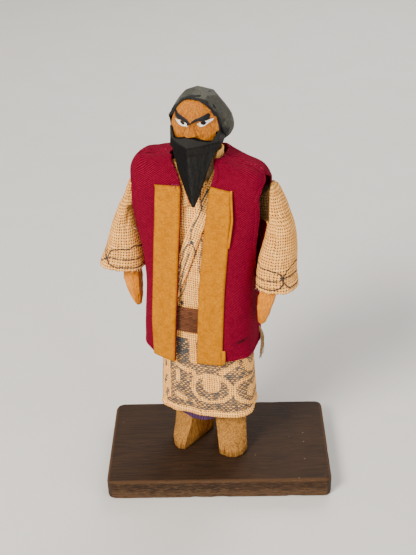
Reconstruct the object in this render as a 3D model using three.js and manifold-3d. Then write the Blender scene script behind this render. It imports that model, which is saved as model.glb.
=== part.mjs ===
// Standing carved-wood doll in cloth dress on a plinth, built as an assembly of named solids.
// Millimetres, +Z up, front of the plinth towards -Y, origin at the centre of the plinth's underside.
// "left" and "right" in the mesh names are the figure's own left and right.
import * as THREE from "three";
import { mergeVertices } from "three/addons/utils/BufferGeometryUtils.js";
import Module from "manifold-3d";

const wasm = await Module();
wasm.setup();

// ---------------------------------------------------------------- driving dimensions
const BASE_W = 120, BASE_D = 68, BASE_T = 12; // plinth
const BASE_CORNER_R = 3.2, BASE_EDGE = 0.9; // its corner radius and worn top edge
const FIGURE_X = -4.4, FIGURE_Y = 4.0, FIGURE_YAW = -18; // where the figure stands and how it is turned
const HEAD_YAW = -2, NECK_X = -0.8; // the head's turn against the body, and the neck axis
const BLOCK_BOTTOM = 34, NECK_TOP = 172.5; // body block, above the plinth's top
const HEM_Z = 25.4; // robe hem above the plinth's top
const GAP = 0.35; // gap between pieces that lie against each other
const FIT = 0.08; // radial clearance of the turning fits
const UNDER_T = 1.0, ROBE_T = 1.2, SASH_T = 1.0, COLLAR_T = 1.0, VEST_T = 1.1, BAND_T = 0.9; // cloth thicknesses
const SASH_LO = 78.8, SASH_HI = 93.0; // sash edges
const SHOULDER_CX = -1.2, PIVOT_Y = 0, PIVOT_Z = 149.5; // shoulder pins
const PIN_R = 1.1, PIN_HEAD_R = 2.6; // shoulder nails
const NECK_DOWEL_R = 3.5; // neck dowel
const LEG_DOWEL_R = 3.0; // leg dowels
const SCREW_R = 1.7, SCREW_HEAD_R = 3.5; // plinth screws
const FOOT = { left: { x: 12.3, y: 2.4, yaw: 20 }, right: { x: -10.2, y: 1.2, yaw: -22 } };

// ---------------------------------------------------------------- small helpers
const V = (x, y, z) => new THREE.Vector3(x, y, z);
const rad = (d) => (d * Math.PI) / 180;
const lerp = (a, b, t) => a + (b - a) * t;

// A solid from a triangle list, turned so that its faces point out.
function fromTriangles(points, triangles) {
  let volume = 0;
  for (const [a, b, c] of triangles)
    volume += points[a].dot(points[b].clone().cross(points[c])) / 6;
  const position = new Float32Array(triangles.length * 9);
  triangles.forEach(([a, b, c], i) => {
    const order = volume < 0 ? [a, c, b] : [a, b, c];
    order.forEach((k, j) => points[k].toArray(position, i * 9 + j * 3));
  });
  const g = new THREE.BufferGeometry();
  g.setAttribute("position", new THREE.BufferAttribute(position, 3));
  return g;
}

// A closed skin through rings of equal length, capped at both ends.
function loft(rings) {
  const n = rings[0].length, points = rings.flat(), tris = [];
  for (let i = 0; i + 1 < rings.length; i++)
    for (let j = 0; j < n; j++) {
      const a = i * n + j, b = i * n + ((j + 1) % n), c = (i + 1) * n + ((j + 1) % n), d = (i + 1) * n + j;
      tris.push([a, b, c], [a, c, d]);
    }
  for (const [k, flip] of [[0, true], [rings.length - 1, false]]) {
    const centre = rings[k].reduce((s, p) => s.add(p), V(0, 0, 0)).divideScalar(n);
    const at = points.push(centre) - 1;
    for (let j = 0; j < n; j++) {
      const a = k * n + j, b = k * n + ((j + 1) % n);
      tris.push(flip ? [b, a, at] : [a, b, at]);
    }
  }
  return fromTriangles(points, tris);
}

// A sheet of cloth: outer(i, j) and inner(i, j) are its two faces, over rows x cols points. wrap closes it into a tube.
function sheet(rows, cols, outer, inner, wrap = false) {
  const points = [], tris = [];
  for (const face of [outer, inner])
    for (let i = 0; i < rows; i++) for (let j = 0; j < cols; j++) points.push(face(i, j));
  const o = (i, j) => i * cols + (j % cols), q = (i, j) => rows * cols + o(i, j);
  const last = wrap ? cols : cols - 1;
  for (let i = 0; i + 1 < rows; i++)
    for (let j = 0; j < last; j++) {
      tris.push([o(i, j), o(i, j + 1), o(i + 1, j + 1)], [o(i, j), o(i + 1, j + 1), o(i + 1, j)]);
      tris.push([q(i, j), q(i + 1, j + 1), q(i, j + 1)], [q(i, j), q(i + 1, j), q(i + 1, j + 1)]);
    }
  for (let j = 0; j < last; j++) {
    tris.push([o(0, j), q(0, j + 1), o(0, j + 1)], [o(0, j), q(0, j), q(0, j + 1)]);
    const r = rows - 1;
    tris.push([o(r, j), o(r, j + 1), q(r, j + 1)], [o(r, j), q(r, j + 1), q(r, j)]);
  }
  if (!wrap)
    for (let i = 0; i + 1 < rows; i++) {
      tris.push([o(i, 0), o(i + 1, 0), q(i + 1, 0)], [o(i, 0), q(i + 1, 0), q(i, 0)]);
      const c = cols - 1;
      tris.push([o(i, c), q(i + 1, c), o(i + 1, c)], [o(i, c), q(i, c), q(i + 1, c)]);
    }
  return fromTriangles(points, tris);
}

const solidOf = (geometry) => {
  const g = (geometry.index ? geometry.toNonIndexed() : geometry.clone());
  g.deleteAttribute("normal");
  g.deleteAttribute("uv");
  const merged = mergeVertices(g, 1e-4);
  return new wasm.Manifold(new wasm.Mesh({
    numProp: 3,
    vertProperties: new Float32Array(merged.attributes.position.array),
    triVerts: new Uint32Array(merged.index.array),
  }));
};
const geometryOf = (solid) => {
  const m = solid.getMesh(), v = new Float32Array(m.numVert * 3);
  for (let i = 0; i < m.numVert; i++) v.set(m.vertProperties.subarray(i * m.numProp, i * m.numProp + 3), i * 3);
  return new THREE.BufferGeometry()
    .setAttribute("position", new THREE.BufferAttribute(v, 3))
    .setIndex(new THREE.BufferAttribute(m.triVerts, 1));
};
const cut = (geometry, ...tools) => geometryOf(tools.reduce((s, t) => s.subtract(solidOf(t)), solidOf(geometry)));
const join = (geometry, ...more) => geometryOf(more.reduce((s, t) => s.add(solidOf(t)), solidOf(geometry)));
const box = (x0, y0, z0, x1, y1, z1) =>
  new THREE.BoxGeometry(x1 - x0, y1 - y0, z1 - z0).translate((x0 + x1) / 2, (y0 + y1) / 2, (z0 + z1) / 2);
// A solid of revolution about +Z from [radius, z] pairs that start and end on the axis.
const turned = (profile, segments = 20) =>
  new THREE.LatheGeometry(profile.map(([r, z]) => new THREE.Vector2(r, z)), segments).rotateX(Math.PI / 2);
const rod = (r, z0, z1, segments = 20) => turned([[0, z0], [r, z0], [r, z1], [0, z1]], segments);

// Value of a table of rows at a real index, through a smooth curve.
function smoothRow(table, t) {
  const i = Math.min(Math.max(Math.floor(t), 0), table.length - 2), f = t - i;
  const at = (k) => table[Math.min(Math.max(k, 0), table.length - 1)];
  const [p0, p1, p2, p3] = [at(i - 1), at(i), at(i + 1), at(i + 2)];
  return p1.map((_, k) => {
    const m1 = (p2[k] - p0[k]) / 2, m2 = (p3[k] - p1[k]) / 2;
    return (2 * f ** 3 - 3 * f ** 2 + 1) * p1[k] + (f ** 3 - 2 * f ** 2 + f) * m1 + (-2 * f ** 3 + 3 * f ** 2) * p2[k] + (f ** 3 - f ** 2) * m2;
  });
}

// A body form: rows of [z, half width, front, back, centre x, power], each a rounded-oblong section of that power.
class Form {
  constructor(table) {
    this.table = table;
  }
  row(t) {
    return smoothRow(this.table, t);
  }
  raw(t, u) {
    const [z, a, f, b, cx, power] = this.row(t), e = 2 / power;
    const c = Math.cos(u), s = Math.sin(u);
    return V(cx + a * Math.sign(c) * Math.abs(c) ** e, (s < 0 ? f : b) * Math.sign(s) * Math.abs(s) ** e, z);
  }
  at(t, u, off = 0) {
    const p = this.raw(t, u);
    if (!off) return p;
    const h = 0.03, last = this.table.length - 1;
    const du = this.raw(t, u + h).sub(this.raw(t, u - h));
    const dt = this.raw(Math.min(t + h, last), u).sub(this.raw(Math.max(t - h, 0), u));
    return p.addScaledVector(du.cross(dt).normalize(), off);
  }
  // The index of the row at height z.
  indexOf(z) {
    let lo = 0, hi = this.table.length - 1;
    for (let k = 0; k < 40; k++) {
      const mid = (lo + hi) / 2;
      if (this.row(mid)[0] < z) lo = mid;
      else hi = mid;
    }
    return (lo + hi) / 2;
  }
  // The angle whose point has this x, on the front half.
  angleOfX(t, x) {
    const [, a, , , cx, power] = this.row(t);
    const k = Math.min(Math.abs((x - cx) / a), 1) ** (power / 2);
    return -Math.acos(Math.sign(x - cx) * k);
  }
  // The angle whose point has this y, on the +x side.
  angleOfY(t, y) {
    const [, , f, b, , power] = this.row(t);
    const k = Math.min(Math.abs(y) / (y < 0 ? f : b), 1) ** (power / 2);
    return Math.sign(y) * Math.asin(k);
  }
}

// The wooden body under the clothes: z, half width, front, back, centre x.
const torso = new Form([
  [18, 22.2, 10.6, 9.8, 0.3, 4.2],
  [34, 21.9, 10.8, 9.9, 0.3, 4.0],
  [60, 21.2, 11.2, 10.0, 0.2, 3.4],
  [86, 20.8, 11.8, 10.2, 0.0, 2.9],
  [110, 21.2, 11.4, 10.4, -0.4, 2.6],
  [132, 22.4, 10.2, 10.6, -0.9, 2.5],
  [146, 23.4, 8.9, 10.6, -1.2, 2.5],
  [154, 23.6, 7.9, 10.2, -1.2, 2.5],
  [159.6, 22.4, 7.0, 9.4, -1.1, 2.5],
  [163.0, 18.6, 6.4, 8.6, -1.0, 2.5],
  [166.0, 13.4, 6.0, 7.8, -0.9, 2.4],
  [168.8, 9.2, 5.8, 7.2, -0.8, 2.3],
  [172.5, 7.2, 5.4, 6.6, -0.8, 2.2],
]);

// The open coat's inner face.
const coat = new Form([
  [60.5, 28.6, 16.4, 14.9, -2.4, 4],
  [72, 28.5, 16.7, 15.0, -2.2, 4],
  [86, 27.8, 16.8, 15.1, -2.0, 4],
  [104, 27.0, 16.4, 15.2, -1.4, 4],
  [120, 28.2, 15.8, 15.3, -1.3, 4],
  [132, 30.4, 15.2, 15.3, -1.3, 4],
  [144, 32.6, 14.1, 15.2, -1.3, 4],
  [154, 33.2, 13.0, 14.8, -1.3, 4],
  [161.5, 33.0, 11.6, 13.8, -1.3, 4],
  [166.4, 31.8, 10.2, 12.6, -1.2, 4],
  [169.4, 28.6, 9.3, 11.9, -1.0, 4],
  [171.2, 21.6, 8.7, 11.4, -0.8, 4],
  [172.6, 14.2, 8.3, 11.2, -0.8, 4],
]);

const group = new THREE.Group();
const figure = new THREE.Group();
figure.position.set(FIGURE_X, FIGURE_Y, BASE_T);
figure.rotation.z = rad(FIGURE_YAW);
group.add(figure);

const material = (color, roughness = 0.8, metalness = 0) => new THREE.MeshStandardMaterial({ color, roughness, metalness, flatShading: true });
const finish = {
  plinth: material(0x3b2d26, 0.55), skin: material(0xb0702e, 0.6), limb: material(0xc98a45, 0.65), foot: material(0xa87a44, 0.7),
  core: material(0xcaa878, 0.8), hair: material(0x3d403c, 0.6), beard: material(0x1c1d1d, 0.6), burlap: material(0xc8a071, 0.95),
  sash: material(0x66483a, 0.9), purple: material(0x5b3e86, 0.9), red: material(0x8c0f2c, 0.9), yellow: material(0xe9a015, 0.9), steel: material(0x8a8c90, 0.35, 1),
};
function add(parent, name, geometry, mat) {
  const mesh = new THREE.Mesh(geometry, mat);
  mesh.name = name;
  parent.add(mesh);
  return mesh;
}

// ---------------------------------------------------------------- plinth and its screws
{
  const w = BASE_W / 2 - BASE_EDGE, d = BASE_D / 2 - BASE_EDGE, r = BASE_CORNER_R;
  const outline = new THREE.Shape();
  outline.moveTo(-w + r, -d);
  outline.lineTo(w - r, -d);
  outline.absarc(w - r, -d + r, r, -Math.PI / 2, 0);
  outline.lineTo(w, d - r);
  outline.absarc(w - r, d - r, r, 0, Math.PI / 2);
  outline.lineTo(-w + r, d);
  outline.absarc(-w + r, d - r, r, Math.PI / 2, Math.PI);
  outline.lineTo(-w, -d + r);
  outline.absarc(-w + r, -d + r, r, Math.PI, 1.5 * Math.PI);
  const board = new THREE.ExtrudeGeometry(outline, {
    depth: BASE_T - 2 * BASE_EDGE, bevelEnabled: true, bevelThickness: BASE_EDGE, bevelSize: BASE_EDGE, bevelSegments: 2, curveSegments: 5,
  }).translate(0, 0, BASE_EDGE);
  const holes = [];
  for (const side of ["left", "right"]) {
    const f = FOOT[side];
    const p = V(f.x, f.y, 0).applyAxisAngle(V(0, 0, 1), rad(FIGURE_YAW)).add(V(FIGURE_X, FIGURE_Y, 0));
    const head = SCREW_HEAD_R, s = SCREW_R;
    // countersunk seat, open at the underside
    holes.push(turned([[0, -1], [head + GAP, -1], [head + GAP, 0.9], [s + GAP, 0.9 + head - s], [s + GAP, BASE_T + 1], [0, BASE_T + 1]]).translate(p.x, p.y, 0));
    let screw = turned([[0, 0.4], [head, 0.4], [head, 0.8], [s, 0.8 + head - s], [s, BASE_T + 8.5], [0.3, BASE_T + 11], [0, BASE_T + 11]]);
    screw = cut(screw, box(-2.2, -0.4, 0, 2.2, 0.4, 1.4), box(-0.4, -2.2, 0, 0.4, 2.2, 1.4)).translate(p.x, p.y, 0);
    add(group, "plinth_screw_" + side, screw, finish.steel);
  }
  add(group, "plinth", cut(board, ...holes), finish.plinth);
}

// ---------------------------------------------------------------- feet and leg dowels
// Toe outlines at the plinth, inner side first: x outwards, y.
const TOES = {
  left: [[-7.2, -15.4], [-3.4, -18.4], [0.6, -18.9], [4.4, -16.6], [7.2, -12.2]],
  right: [[-7.2, -16.4], [-4.2, -18.2], [-0.4, -17.0], [3.8, -13.4], [7.2, -8.8]],
};
for (const side of ["left", "right"]) {
  const f = FOOT[side], m = side === "right" ? -1 : 1; // +x is the outer side of the left foot
  // a section: height, half width, how far the toe outline is drawn back, heel, and how square the heel is
  const ring = (z, w, reach, heel, square = 1) => {
    const inner = side === "left" ? lerp(0.9, 2.8, Math.min(z / 20, 1)) : 0; // the left block is thicker on its inner side
    const X = (x) => (x < 0 ? x * (1 + inner / w) : x) * m;
    const toes = TOES[side].map(([x, y]) => V(X((x * w) / 7.2), lerp(-7.0 + (y + 15) * 0.12, y, reach), z));
    return [...toes, V(X(w), lerp(heel - 6, heel - 0.8, square), z), V(X(w * lerp(0.3, 0.8, square)), heel, z), V(X(-w * 0.5), heel, z), V(X(-w), lerp(heel - 4, heel, square), z)];
  };
  let foot = loft([
    ring(0.05, 6.8, 0.93, 8.6), ring(1.2, 7.1, 1, 9.0), ring(4.2, 7.15, 0.98, 9.0), ring(6.0, 7.0, 0.82, 8.8),
    ring(12, 6.95, 0.42, 7.8, 0.7), ring(20, 6.9, 0.12, 6.0, 0), ring(BLOCK_BOTTOM - GAP, 6.9, 0, 5.2, 0),
  ]);
  const grooves = [];
  TOES[side].slice(0, 4).forEach(([x, y], i) => {
    const [x1, y1] = TOES[side][i + 1], cx = ((x + x1) / 2) * m, cy = (y + y1) / 2;
    grooves.push(new THREE.BoxGeometry(0.75, 3.0, 0.75).rotateY(Math.PI / 4).rotateX(rad(60)).translate(cx, cy + 0.9, 5.0),
      box(cx - 0.22, cy - 2, -1, cx + 0.22, cy + 0.7, 5.4));
  });
  foot = cut(foot, ...grooves,
    rod(SCREW_R + GAP, -1, 11.6), // pilot hole for the screw
    rod(LEG_DOWEL_R + GAP, 19.5, BLOCK_BOTTOM + 1));
  const limb = new THREE.Group();
  limb.position.set(f.x, f.y, 0);
  limb.rotation.z = rad(f.yaw);
  figure.add(limb);
  add(limb, "foot_" + side, foot, finish.foot);
  add(limb, "leg_dowel_" + side, turned([[0, 20], [LEG_DOWEL_R - 0.4, 20], [LEG_DOWEL_R, 20.5], [LEG_DOWEL_R, 47.5], [LEG_DOWEL_R - 0.4, 48], [0, 48]]), finish.core);
}

// ---------------------------------------------------------------- body block, neck dowel
const COLS = 32;
const ringOf = (form, t, off) => Array.from({ length: COLS }, (_, j) => form.at(t, (j / COLS) * 2 * Math.PI, off));
{
  const rows = [];
  const t0 = torso.indexOf(BLOCK_BOTTOM), t1 = torso.table.length - 1;
  for (let k = 0; k <= 16; k++) rows.push(ringOf(torso, lerp(t0, t1, k / 16), 0));
  const tools = [rod(NECK_DOWEL_R + GAP, 155, 180).translate(NECK_X, 0, 0)];
  for (const side of ["left", "right"]) tools.push(rod(LEG_DOWEL_R + GAP, 30, 48.6).translate(FOOT[side].x, FOOT[side].y, 0));
  for (const s of [1, -1]) tools.push(rod(PIN_R + GAP, 17, 40, 12).rotateY((s * Math.PI) / 2).translate(SHOULDER_CX, PIVOT_Y, PIVOT_Z));
  add(figure, "body_block", cut(loft(rows), ...tools), finish.core);
  add(figure, "neck_dowel", turned([[0, 155.6], [NECK_DOWEL_R - 0.5, 155.6], [NECK_DOWEL_R, 156.2], [NECK_DOWEL_R, 190.4], [NECK_DOWEL_R - 0.5, 191], [0, 191]], 28).translate(NECK_X, 0, 0), finish.core);
}

// ---------------------------------------------------------------- cloth tubes round the body
const tube = (form, z0, z1, rows, inner, outer, scallop = () => 0) => {
  const t0 = form.indexOf(z0), t1 = form.indexOf(z1);
  const point = (off) => (i, j) => {
    const u = (j / COLS) * 2 * Math.PI;
    const p = form.at(lerp(t0, t1, i / (rows - 1)), u, typeof off === "function" ? off(lerp(z0, z1, i / (rows - 1))) : off);
    if (i === 0) p.z += scallop(u, p.x);
    return p;
  };
  return sheet(rows, COLS, point(outer), point(inner), true);
};
const UNDER_IN = GAP, UNDER_OUT = UNDER_IN + UNDER_T, ROBE_IN = UNDER_OUT + GAP, ROBE_OUT = ROBE_IN + ROBE_T;
{
  // underskirt, dipping below the hem at the front between the feet
  const dip = (u, x) => (Math.sin(u) < 0 ? -4.6 * Math.exp(-(((x + 5) / 7.5) ** 4)) : 0);
  add(figure, "underskirt", tube(torso, 25.2, 62, 6, UNDER_IN, UNDER_OUT, dip), finish.purple);

  // robe: one wrapped tube of coarse cloth from the neck to the shins
  const inner = (z) => (z < 64 ? ROBE_IN : z < 72 ? lerp(ROBE_IN, GAP, (z - 64) / 8) : GAP);
  let robe = tube(torso, HEM_Z, 161.6, 15, (z) => inner(z), ROBE_OUT, (u) => 1.2 * Math.cos(u));
  for (const s of [1, -1]) robe = cut(robe, rod(2.0, 18, 40, 14).rotateY((s * Math.PI) / 2).translate(SHOULDER_CX, PIVOT_Y, PIVOT_Z));
  add(figure, "robe", robe, finish.burlap);

  add(figure, "sash", tube(torso, SASH_LO, SASH_HI, 3, ROBE_OUT + GAP, ROBE_OUT + GAP + SASH_T), finish.sash);
  // frayed end of the sash, hanging at the left hip between the coat's panels
  const tail = loft([[60, 1.6, 0.5], [66, 2.4, 0.6], [74, 2.0, 0.6], [78.2, 1.6, 0.5]].map(([z, w, h]) => {
    const p = torso.at(torso.indexOf(z), rad(18), ROBE_OUT + GAP + 0.7), q = torso.at(torso.indexOf(z), rad(18), ROBE_OUT + GAP + 1.7);
    const n = q.sub(p).normalize(), t = V(-n.y, n.x, 0).normalize();
    const c = (a, b) => p.clone().addScaledVector(t, a * w).addScaledVector(n, b * h);
    return [c(-1, -1), c(1, -1), c(1, 1), c(-1, 1)];
  }));
  add(figure, "sash_tail", tail, finish.sash);
}

// ---------------------------------------------------------------- the robe's collar bands
// A band of cloth along stations of { c: centre, n: face normal, w: width direction, half: half width }.
const band = (stations, thickness) => sheet(stations.length, 3,
  (i, j) => stations[i].c.clone().addScaledVector(stations[i].w, (j - 1) * stations[i].half).addScaledVector(stations[i].n, thickness),
  (i, j) => stations[i].c.clone().addScaledVector(stations[i].w, (j - 1) * stations[i].half));
const onFront = (form, x, z, off) => {
  const t = form.indexOf(z), u = form.angleOfX(t, x);
  const c = form.at(t, u, off), n = form.at(t, u, off + 1).sub(c).normalize();
  return { c, n };
};
function collar(side, path, off) {
  // side +1: the left band, laid over; -1: the right band, under it. It starts behind the neck.
  const stations = [];
  for (const [a, z, tilt] of [[86, 172.4, 0], [58, 172.4, 0], [30, 172.4, 0], [4, 172.2, 0.1], [-20, 171.4, 0.35]]) {
    const p = rad(a), n = V(side * Math.cos(p), Math.sin(p), tilt).normalize();
    const w = V(0, 0, 1).addScaledVector(n, -n.z).normalize();
    stations.push({ c: V(NECK_X + side * 10.3 * Math.cos(p), 0.4 + 8.9 * Math.sin(p), z), n, w, half: 2.7 });
  }
  const pts = path.map(([x, z]) => onFront(torso, x, z, off));
  pts.forEach(({ c, n }, k) => {
    const a = pts[Math.max(k - 1, 0)].c, b = pts[Math.min(k + 1, pts.length - 1)].c;
    const t = b.clone().sub(a).normalize(), w = n.clone().cross(t).normalize();
    if (w.x * side > 0) w.negate(); // towards the neck opening
    stations.push({ c, n, w, half: path[k][2] });
  });
  return band(stations, COLLAR_T);
}
{
  const off = ROBE_OUT + GAP;
  const over = collar(1, [[10.2, 165.4, 2.9], [9.0, 161, 3.1], [6.4, 153, 3.2], [2.6, 143, 3.3], [-2.2, 130, 3.5], [-7.0, 116, 3.6], [-11.6, 102, 3.6], [-13.4, 96.4, 3.6]], off);
  const under = collar(-1, [[-11.4, 165.4, 2.9], [-10.4, 161, 3.0], [-8.2, 155.5, 3.1], [-5.4, 147.2, 3.1]], off);
  const overFat = collar(1, [[10.2, 165.4, 3.3], [9.0, 161, 3.5], [6.4, 154, 3.7], [2.6, 143, 3.8], [-2.2, 130, 3.9], [-7.0, 116, 4.0], [-11.6, 102, 4.0]], off);
  const fat = solidOf(overFat);
  add(figure, "collar_left", over, finish.burlap);
  add(figure, "collar_right", geometryOf(solidOf(under).subtract(fat)), finish.burlap);
}

// ---------------------------------------------------------------- the open coat: two fronts, a back, two bright bands
// Edges as tables of [z, value].
const along = (table, z) => {
  if (z <= table[0][0]) return table[0][1];
  for (let i = 0; i + 1 < table.length; i++)
    if (z <= table[i + 1][0]) return lerp(table[i][1], table[i + 1][1], (z - table[i][0]) / (table[i + 1][0] - table[i][0]));
  return table[table.length - 1][1];
};
const FRONT_EDGE = {
  left: [[60, 0.0], [108, 2.6], [140, 5.8], [158, 7.8], [164, 9.0], [170, 10.4], [178, 11.2]],
  right: [[60, -12.4], [105, -9.2], [140, -7.0], [158, -6.4], [164, -8.2], [170, -11.6], [178, -14.6]],
};
const ARM_EDGE = [[60, 1.0], [72, 2.4], [86, 3.0], [102, 1.6], [114, -2.4], [122, -5.6], [130, -8.2], [140, -8.8], [156, -8.6], [161, -6.4], [165, -3.4], [168, -0.8], [180, 0.2]];
const BACK_EDGE = [[60, 3.4], [72, 4.4], [86, 5.0], [102, 4.6], [114, 5.4], [124, 7.2], [136, 8.4], [150, 8.6], [157, 8.2], [161, 6.0], [165, 2.6], [168, 1.0], [180, 1.2]];
// The left shoulder slopes more than the right, and the hems rise towards the side slits.
const ease = (a, b, x) => { const t = Math.min(Math.max((x - a) / (b - a), 0), 1); return t * t * (3 - 2 * t); };
const HEM_RISE = {
  coat_front_left: [[10, 3.4], [14, 3.8], [24, 6.2], [28, 6.8]],
  coat_front_right: [[-30, 4.6], [-26, 4.0], [-20, 1.2], [-12, 0]],
  coat_back: [[-30, 4.4], [-27, 2.6], [-22, 0], [18, 0], [24, 3.4], [27, 6.6]],
};
const settle = (name, p) => {
  const rise = along(HEM_RISE[name], p.x) * (1 - ease(60.5, 90, p.z));
  p.z += rise - 2.4 * ease(9, 22, p.x) * ease(160, 168, p.z) - 1.5 * ease(-10, -17, p.x) * ease(-32, -24, p.x) * ease(160, 168, p.z);
  return p;
};
const COAT_ROWS = 17;
const coatT = (k) => (k / (COAT_ROWS - 1)) * (coat.table.length - 1);
function coatPanel(name, cols, from, to) {
  const angle = (k, j) => {
    const t = coatT(k), z = coat.row(t)[0];
    return lerp(from(t, z), to(t, z), j / (cols - 1));
  };
  add(figure, name, sheet(COAT_ROWS, cols, (k, j) => settle(name, coat.at(coatT(k), angle(k, j), VEST_T)), (k, j) => settle(name, coat.at(coatT(k), angle(k, j)))), finish.red);
}
coatPanel("coat_front_left", 9, (t, z) => coat.angleOfX(t, along(FRONT_EDGE.left, z)), (t, z) => coat.angleOfY(t, along(ARM_EDGE, z)));
coatPanel("coat_front_right", 9, (t, z) => coat.angleOfX(t, along(FRONT_EDGE.right, z)), (t, z) => -Math.PI - coat.angleOfY(t, along(ARM_EDGE, z)));
coatPanel("coat_back", 17, (t, z) => coat.angleOfY(t, along(BACK_EDGE, z)), (t, z) => Math.PI - coat.angleOfY(t, along(BACK_EDGE, z)));

const BAND_WIDTH = {
  left: [[60, 13.2], [108, 12.6], [146, 12.0], [163, 9.6]],
  right: [[60, -11.2], [84, -12.6], [108, -12.6], [160, -12.8]],
};
for (const [side, z0, z1, rise] of [["left", 62.1, 161.0, 0.9], ["right", 60.6, 159.6, 2.2]]) {
  const rows = 14, cols = 4;
  const point = (off) => (i, j) => {
    const z = lerp(z0, z1, i / (rows - 1)), t = coat.indexOf(z), x0 = along(FRONT_EDGE[side], z), w = along(BAND_WIDTH[side], z);
    const p = coat.at(t, coat.angleOfX(t, x0 + (w * j) / (cols - 1)), off);
    p.z += rise * (j / (cols - 1)) * Math.max(0, 1 - (z - z0) / 12);
    return p;
  };
  add(figure, "coat_band_" + side, sheet(rows, cols, point(VEST_T + GAP + BAND_T), point(VEST_T + GAP)), finish.yellow);
}

// ---------------------------------------------------------------- arms, sleeves and shoulder nails
// Sleeve rings: z above the plinth, inner x, outer x (left, right arm), half depth, centre y. x counts outwards from the shoulder centre.
const SLEEVE_TOP = {
  left: [[161.4, 35.5, 36.5, 1.6, -0.6], [160.4, 35.4, 37.6, 3.8, -0.6], [158.4, 35.3, 39.2, 5.6, -0.6], [157.0, 30.4, 40.0, 4.6, 0]],
  right: [[156.8, 30.6, 33.0, 1.6, 0], [156.3, 29.4, 34.6, 3.4, 0], [155.6, 28.6, 35.6, 4.8, 0]],
};
const SLEEVE = [
  [154.4, 27.2, 41.4, 36.8, 6.2, 0],
  [150.0, 27.0, 43.4, 38.6, 7.4, 0],
  [146.2, 27.2, 44.9, 40.0, 7.2, -0.2],
  [144.2, 29.6, 45.6, 41.0, 6.6, -0.4],
  [142.6, 35.4, 46.1, 41.6, 8.2, -0.8],
  [139.0, 35.4, 47.0, 42.9, 8.7, -1.4],
  [134.5, 35.0, 47.8, 44.6, 9.2, -2.0],
  [129.0, 33.0, 48.4, 46.6, 9.8, -2.7],
  [123.5, 30.8, 48.8, 48.6, 10.1, -3.3],
  [116.0, 29.8, 49.2, 51.4, 10.2, -4.1],
  [108.6, 29.8, 49.6, 53.9, 10.0, -4.6],
];
const sleeveRing = (row, side, inset, drop = 0) => {
  const [z, xin, xo, d, yc] = row.length === 5 ? row : [row[0], row[1], side === "left" ? row[2] : row[3], row[4], row[5]];
  const s = side === "left" ? 1 : -1, n = 20, a = (xo - xin) / 2 - inset, b = d - inset, cx = (xo + xin) / 2;
  return Array.from({ length: n }, (_, j) => {
    const u = (j / n) * 2 * Math.PI, e = 2 / 2.5;
    const px = Math.sign(Math.cos(u)) * Math.abs(Math.cos(u)) ** e, py = Math.sign(Math.sin(u)) * Math.abs(Math.sin(u)) ** e;
    return V(s * (cx + Math.max(a, 0.3) * px) + SHOULDER_CX, yc + Math.max(b, 0.3) * py, z + drop);
  });
};
// Where each arm's stick and hand run: z, inner x, outer x, front y, back y, ridge.
const ARM = {
  left: [[84.2, 30.9, 33.4, -6.6, -3.4, 0.5], [85.4, 30.6, 34.4, -7.8, -2.6, 0.5], [90, 30.5, 36.2, -9.2, -1.8, 0.46], [96, 30.6, 38.0, -9.8, -1.2, 0.44], [101, 31.0, 39.4, -9.4, -0.8, 0.46],
    [106.5, 32.6, 40.6, -8.4, -0.8, 0.5], [116, 35.0, 42.4, -7.2, -0.2, 0.5], [130, 37.4, 43.0, -5.2, 2.0, 0.5], [140, 38.0, 42.6, -4.0, 3.2, 0.5], [145.4, 37.2, 41.6, -3.5, 3.4, 0.5], [149.5, 30.4, 36.0, -3.2, 3.4, 0.5], [151.2, 30.2, 33.8, -2.8, 3.0, 0.5]],
  right: [[84.2, 33.4, 35.9, -6.6, -3.4, 0.5], [85.4, 33.1, 36.9, -7.8, -2.6, 0.5], [90, 32.8, 38.6, -9.2, -1.8, 0.46], [96, 32.6, 40.2, -9.8, -1.2, 0.44], [101, 32.6, 41.6, -9.4, -0.8, 0.46],
    [106.5, 33.2, 41.8, -8.4, -0.8, 0.5], [116, 35.0, 42.0, -7.2, -0.2, 0.5], [130, 36.6, 41.2, -5.2, 2.0, 0.5], [139, 37.3, 40.9, -4.2, 3.0, 0.5], [143.2, 37.3, 39.6, -3.7, 3.3, 0.5], [145.4, 34.4, 38.4, -3.5, 3.4, 0.5], [149.5, 30.4, 34.8, -3.2, 3.4, 0.5], [151.2, 30.2, 33.8, -2.8, 3.0, 0.5]],
};
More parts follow.
